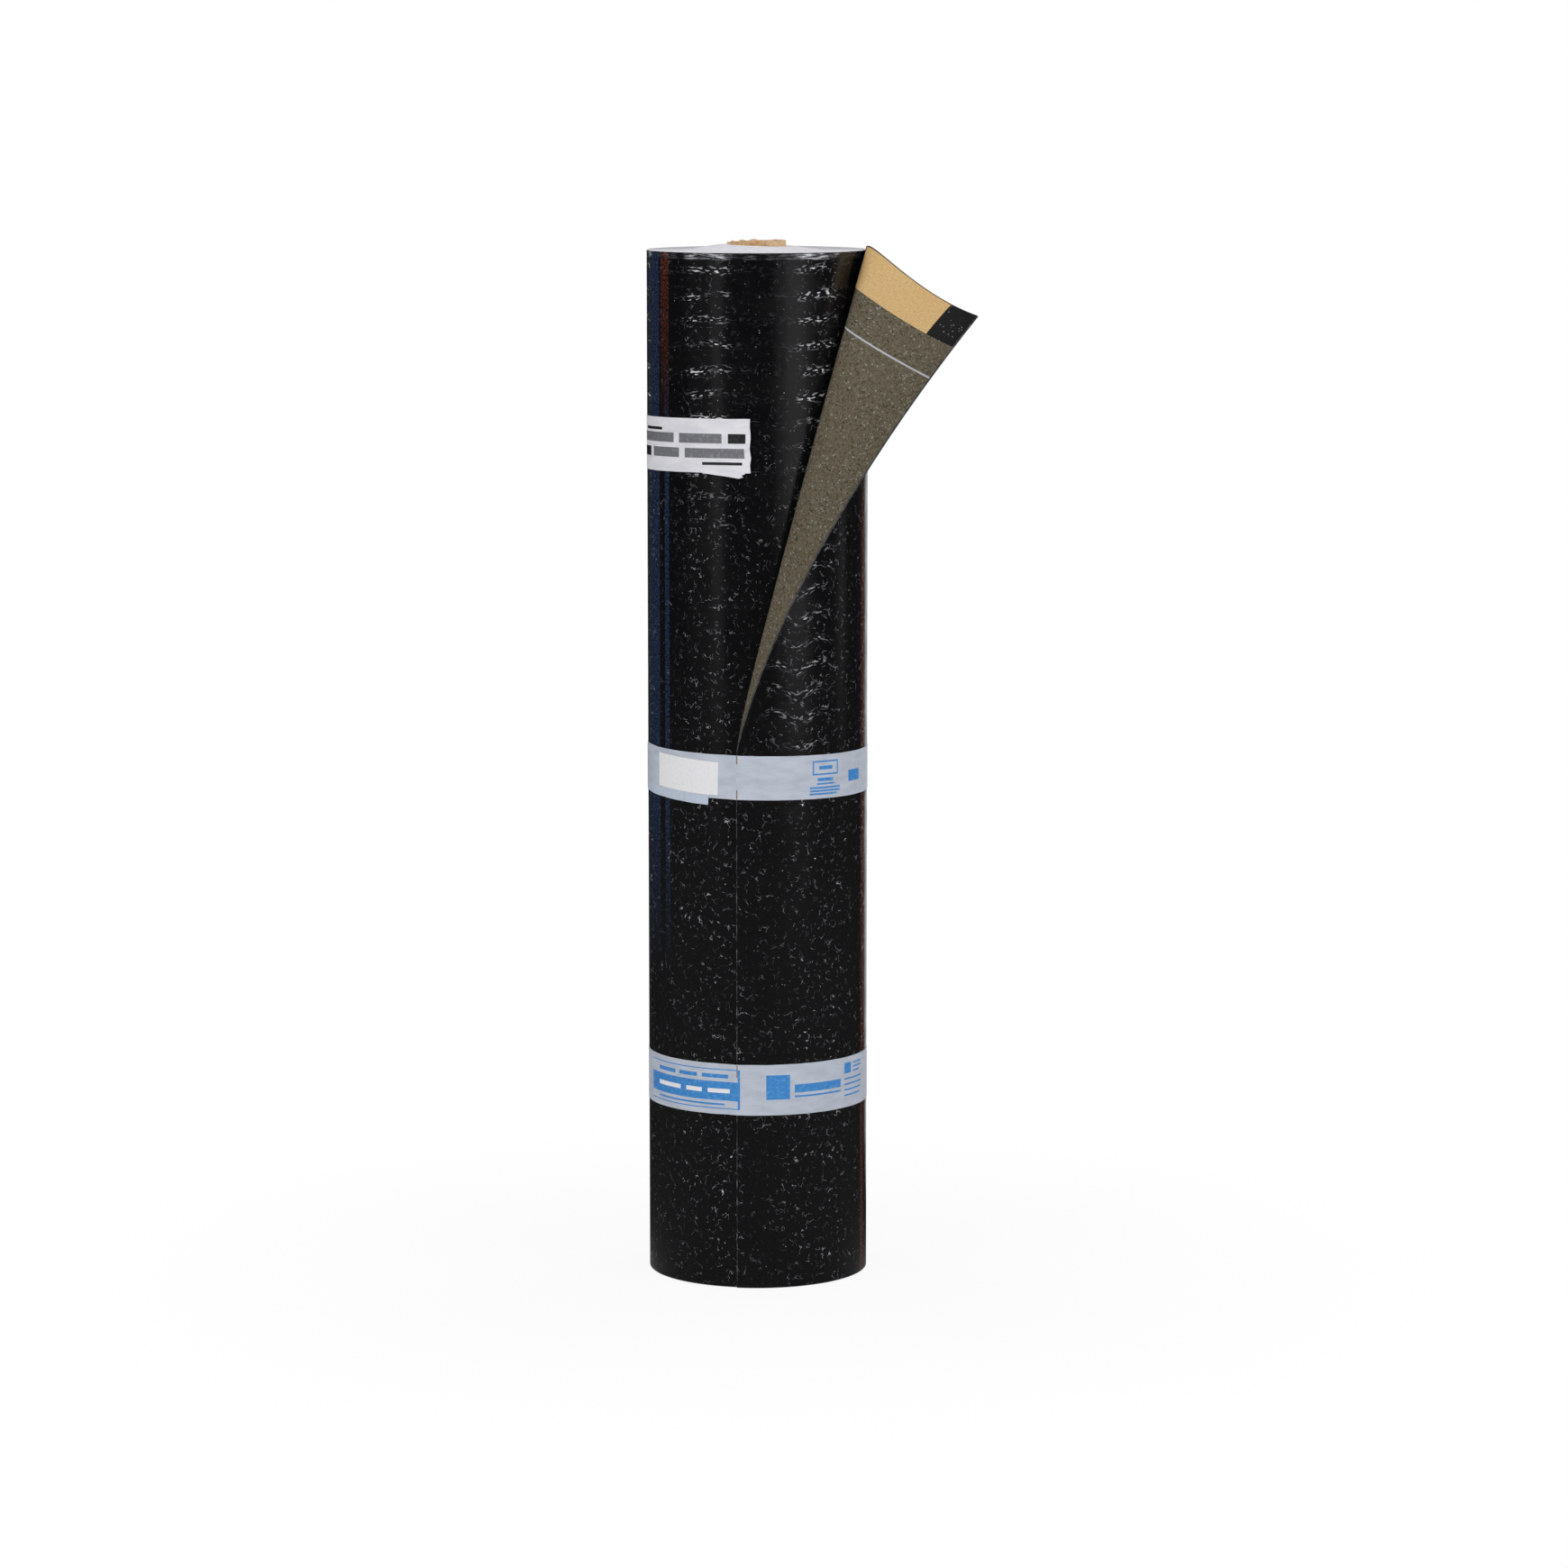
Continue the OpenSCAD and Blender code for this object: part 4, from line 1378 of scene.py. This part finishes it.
@dataclass
class Studio:
    """A plain white studio. Dark flags in front keep the film black, tall boxes streak it, sparks catch its creases."""

    camera_place: tuple[float, float, float] = (0.0266, -5.0, 1.1625)
    camera_pitch: float = 7.781
    lens: float = 118.4
    ambient: float = 0.42
    floor: float = 12.0
    flag_radius: float = 6.5
    flag_height: float = 7.0
    flags_open: tuple[float, float] = (152.0, -170.0)

    def build(self) -> None:
        """Makes the camera, the world, the floor, the flags and the lamps."""
        self._camera()
        self._world()
        self._floor()
        self._flags()
        # Each lamp's name, azimuth, elevation, distance, size and brightness, under the rays that don't see it.
        for unseen_by, lamps in (
            (
                "visible_diffuse",
                (
                    ("left_box", -41.0, 15.0, 2.7, (0.6, 2.0), 0.55),
                    ("left_wide_box", -60.0, 15.0, 2.7, (1.3, 2.0), 0.1),
                    ("right_box", 41.0, 15.0, 2.7, (1.0, 2.0), 0.5),
                    ("right_wide_box", 40.0, 15.0, 2.7, (2.0, 2.0), 0.35),
                    ("right_side_box", 97.0, 15.0, 2.7, (0.6, 2.0), 0.35),
                    ("left_spark", -50.0, 40.0, 3.0, (1.1, 0.8), 40.0),
                    ("right_spark", 58.0, 40.0, 3.0, (2.0, 0.8), 40.0),
                ),
            ),
            (
                "visible_glossy",
                (
                    ("left_key", -48.0, 42.0, 3.2, (1.2, 1.2), 3.4),
                    ("right_key", 52.0, 42.0, 3.2, (1.2, 1.2), 3.4),
                    ("front_fill", 4.0, 20.0, 3.6, (1.4, 1.4), 2.2),
                    ("back_left_key", -135.0, 42.0, 3.4, (1.2, 1.2), 3.4),
                    ("back_right_key", 135.0, 42.0, 3.4, (1.2, 1.2), 3.4),
                ),
            ),
        ):
            for lamp in lamps:
                setattr(self._lamp(*lamp), unseen_by, False)

    def _camera(self) -> None:
        """Makes the camera at the height of a standing person a few steps away."""
        data = bpy.data.cameras.new("camera")
        data.lens, data.sensor_width = self.lens, 36.0
        camera = bpy.data.objects.new("camera", data)
        camera.location = self.camera_place
        camera.rotation_euler = (math.radians(90 - self.camera_pitch), 0, 0)
        bpy.context.scene.collection.objects.link(camera)
        bpy.context.scene.camera = camera

    def _seen(self, add: AddNode) -> Socket:
        """One where a ray comes from the camera or from a gloss or glass, and nought where it only lights."""
        seen = add("LightPath", output="Is Camera Ray")
        for kind in ("Is Glossy Ray", "Is Transmission Ray"):
            other = add("LightPath", output=kind)
            seen = add("Math", (seen, other), operation="MAXIMUM")
        return seen

    def _world(self) -> None:
        """Lights all sides a little and shows white."""

        def sky(add: AddNode) -> Socket:
            """Draws a sky that is dim as a light and white to look at."""
            strength = add("MapRange", (self._seen(add), 0.0, 1.0, self.ambient, 1.0))
            return add("Background", {"Color": WHITE, "Strength": strength})

        world = bpy.data.worlds.new("studio")
        paint(world, "OutputWorld", sky)
        bpy.context.scene.world = world

    def _stage(self, name: str, bm: bmesh.types.BMesh, draw: Callable[[AddNode], Socket]) -> bpy.types.Object:
        """Makes a stage piece.

        Args:
            name: Its name.
            bm: Its mesh, in metres. It is freed.
            draw: Draws its finish.

        Returns:
            The object.
        """
        piece = mesh_object(name, bm, [material(name, draw)])
        return piece

    def _floor(self) -> None:
        """Makes a wide pale floor that keeps a part of the object's shadow."""

        def board(add: AddNode) -> Socket:
            """Draws painted board that shows some shadow near the roll and only white further off."""
            pale = add("BsdfDiffuse", {"Color": linear("#f6f6f7")})
            white = add("Emission", {"Color": WHITE, "Strength": 1.0})
            place = add("TexCoord", output="Object")
            far = add("VectorMath", (place,), "Value", operation="LENGTH")
            far = add("MapRange", (far, 0.13, 0.8, 0.9, 1.0), **SOFT)
            share = add("Math", (self._seen(add), far), operation="MULTIPLY")
            return add("MixShader", (share, pale, white))

        bm = bmesh.new()
        bmesh.ops.create_circle(bm, cap_ends=True, segments=96, radius=self.floor)
        self._stage("floor", bm, board)

    def _flags(self) -> None:
        """Stands dark flags round the front half, which only gloss sees, so that the film doesn't mirror the white."""

        def glowing_cloth(add: AddNode) -> Socket:
            """Draws the flags as a dim glow, a painted light: faint on the standing black cloth, brighter on the ground
            in front.
            """
            place = add("TexCoord", output="Object")
            way = add("VectorMath", (place,), operation="NORMALIZE")
            back = add("SeparateXYZ", (way,), "Y")
            ground = add("MapRange", (back, -0.3, 0.75, 0.22, 0.03))
            far = add("VectorMath", (place,), "Value", operation="LENGTH")
            glow = add("MapRange", (far, 3.2, 5.0, ground, 0.03))
            return add("Emission", {"Color": WHITE, "Strength": glow})

        bm = bmesh.new()
        bmesh.ops.create_circle(bm, cap_ends=True, cap_tris=True, segments=120, radius=self.flag_radius)
        rim = [e for e in bm.edges if e.is_boundary]
        wall = bmesh.ops.extrude_edge_only(bm, edges=rim)
        top = [g for g in wall["geom"] if isinstance(g, Vert)]
        bmesh.ops.translate(bm, vec=(0, 0, self.flag_height), verts=top)
        bmesh.ops.translate(bm, vec=(0, 0, 0.001), verts=bm.verts[:])
        bmesh.ops.delete(bm, geom=[f for f in bm.faces if self._open(f.calc_center_median())], context="FACES")
        flags = self._stage("flags", bm, glowing_cloth)
        for kind in ("camera", "diffuse", "transmission", "shadow"):
            setattr(flags, f"visible_{kind}", False)

    def _open(self, place: Vector) -> bool:
        """Whether the flags leave the backdrop free there: behind the roll, and more on its right than on its left."""
        azimuth = math.degrees(math.atan2(place.x, -place.y))
        return azimuth > self.flags_open[0] or azimuth < self.flags_open[1]

    def _lamp(
        self, name: str, azimuth: float, elevation: float, distance: float, size: tuple[float, float], radiance: float
    ) -> bpy.types.Object:
        """Hangs a rectangular soft lamp that looks at the middle of the roll.

        Args:
            name: Its name.
            azimuth: Where it hangs round the roll.
            elevation: How high, in degrees above the roll's middle.
            distance: How far away, in metres.
            size: Its width and height, in metres.
            radiance: How bright its face is, where 1 is white.

        Returns:
            The lamp.
        """
        data = bpy.data.lights.new(name, "AREA")
        data.shape, data.size, data.size_y = "RECTANGLE", *size
        data.energy = radiance * math.pi * size[0] * size[1]
        lamp = bpy.data.objects.new(name, data)
        a, e = math.radians(azimuth), math.radians(elevation)
        back = Vector((math.sin(a) * math.cos(e), -math.cos(a) * math.cos(e), math.sin(e)))
        lamp.location = Vector((0, 0, 0.5)) + back * distance
        lamp.rotation_euler = back.to_track_quat("Z", "Y").to_euler()
        bpy.context.scene.collection.objects.link(lamp)
        return lamp


# ---------------------------------------------------------------------------------------------- the roll


def tapes(winding: Winding) -> tuple[Tape, ...]:
    """Describes the three tapes that bind the roll. What is printed on them is plain blocks and lines.

    Args:
        winding: The roll.

    Returns:
        The tapes, from the top down.
    """
    white = TapeFilm("white_polypropylene_tape", "#f6f6fa", "#e9e9f1")
    grey = TapeFilm("milky_polypropylene_tape", "#d0d7e4", "#c0c8d5")
    free = winding.free_edge
    upper, lower = (2.2, 11.4), (-11.8, -2.6)
    label = Strip(
        height=817.5,
        width=51.5,
        start=-256.0,
        end=-3.0,
        pitch=1.5,
        torn_end=(
            *((-1.0, 0.3), (-0.7, 0.0), (-0.45, 0.5), (-0.1, -0.2), (0.3, 0.3)),
            *((0.62, 0.1), (0.7, -0.5), (0.8, 0.2), (1.0, 0.0)),
        ),
        marks=(
            *blocks(Ink.GREY, (-84.0, -48.0, *upper), (-44.0, -18.0, *upper)),
            *blocks(Ink.GREY, (-68.0, -44.0, *lower), (-40.0, -6.0, *lower)),
            *blocks(Ink.BLACK, (-14.6, -5.4, *upper), (-96.0, -72.0, *lower)),
            *blocks(Ink.BLACK, (-80.0, -58.0, 13.6, 16.4), (-29.0, -7.0, -18.4, -15.6)),
        ),
    )
    sliver = Strip(
        height=788.2,
        width=7.0,
        start=-34.0,
        end=-6.0,
        roll=7.0,
        lift=0.32,
        thickness=0.12,
        torn_start=((-1.0, -5.0), (-0.2, -3.0), (0.3, -5.0), (1.0, 0.0)),
        torn_end=((-1.0, -2.6), (-0.5, -0.4), (-0.1, -1.6), (0.3, 0.4), (1.0, 0.9)),
    )
    middle = Strip(
        height=499.5,
        width=42.5,
        start=free,
        end=free + 360,
        roll=0.9,
        marks=(
            *blocks(Ink.BROWN, (free, free + 0.6, 13.0, 21.0), (free, free + 0.6, -21.0, -12.0)),
            *frame_of(30.0, 46.5, 1.5, 15.5, 1.6),
            *blocks(Ink.BLUE, (34.0, 42.5, 6.8, 10.4), (33.0, 43.0, -4.4, -1.2), (32.5, 44.0, -7.8, -6.2)),
            *blocks(Ink.BLUE, (28.3, 48.0, -11.6, -9.8), (28.3, 48.0, -14.6, -12.8), (28.3, 45.5, -17.6, -15.8)),
            *blocks(Ink.BLUE, (55.0, 66.0, -7.5, 3.5)),
        ),
    )
    tail = Strip(
        height=490.8,
        width=42.5,
        start=-113.0,
        end=-20.5,
        pitch=-1.18,
        roll=2.76,
        lift=0.32,
        torn_end=((-1.0, -5.4), (-0.53, -5.2), (-0.52, 0.0), (1.0, 0.3)),
        marks=(
            *blocks(Ink.WHITE, (-62.0, -20.5, -11.4, 21.0)),
            *blocks(Ink.MILK, (-113.0, -41.6, -21.3, -12.6), (-40.2, -20.5, -21.3, -12.6)),
        ),
    )
    bottom = Strip(
        height=195.5,
        width=49.5,
        start=free,
        end=free + 360,
        pitch=0.4,
        marks=(
            *blocks(Ink.BROWN, (free, free + 0.5, 12.0, 24.0)),
            # A box across the free edge, with a solid band in it and bars in white on that band.
            *blocks(Ink.BLUE, (287.9, 349.8, 18.6, 19.6), (287.9, 349.8, -19.6, -18.6)),
            *blocks(Ink.BLUE, (free, -9.0, 18.6, 19.6), (free, -9.0, -19.6, -18.6), (-9.6, -8.4, -19.6, 19.6)),
            *blocks(Ink.BLUE, (287.9, 349.8, -11.3, 7.2), (free, -9.6, -11.3, 7.2)),
            *blocks(Ink.WHITE, (297.0, 316.0, -4.0, 0.2), (320.0, 330.0, -4.0, 0.2), (333.5, 346.0, -4.0, 0.2)),
            *blocks(Ink.BLUE, (297.0, 312.0, 10.6, 14.4), (315.0, 327.0, 10.6, 14.4), (330.0, 345.0, 10.6, 14.4)),
            *blocks(Ink.BLUE, (297.0, 343.0, -16.0, -14.2)),
            # A square, a bar with a line under it, and short lines.
            *blocks(Ink.BLUE, (5.0, 17.5, -9.5, 14.5), (20.0, 49.0, -3.4, 4.6), (20.0, 49.0, -8.0, -6.2)),
            *blocks(Ink.BLUE, (52.0, 58.0, 8.5, 19.0), (60.0, 69.0, 17.0, 18.6), (60.0, 69.0, 13.0, 14.6)),
            *blocks(Ink.BLUE, (60.0, 67.0, 9.0, 10.6), (52.0, 70.0, 2.4, 4.0), (52.0, 70.0, -3.0, -1.4)),
            *blocks(Ink.BLUE, (52.0, 69.0, -8.4, -6.8), (52.0, 68.0, -13.8, -12.2)),
        ),
    )
    return (
        Tape("label_tape_strip", "label_tape", "white_tape", winding, white, (label, sliver)),
        Tape("middle_tape_strip", "middle_tape", "grey_tape", winding, grey, (middle, tail)),
        Tape("bottom_tape_strip", "bottom_tape", "grey_tape", winding, grey, (bottom,)),
    )


def main() -> None:
    """Builds the roll piece by piece, then the studio."""
    logging.basicConfig(level=logging.INFO, format="%(name)s: %(message)s")
    bpy.context.scene.view_settings.view_transform = "Standard"
    winding = Winding()
    peel = PeeledCorner(winding)
    for part in (Membrane(winding, peel), CoreTube(winding), FilmStrip(peel), *tapes(winding)):
        part.build()
    Studio().build()


if __name__ == "__main__":
    main()
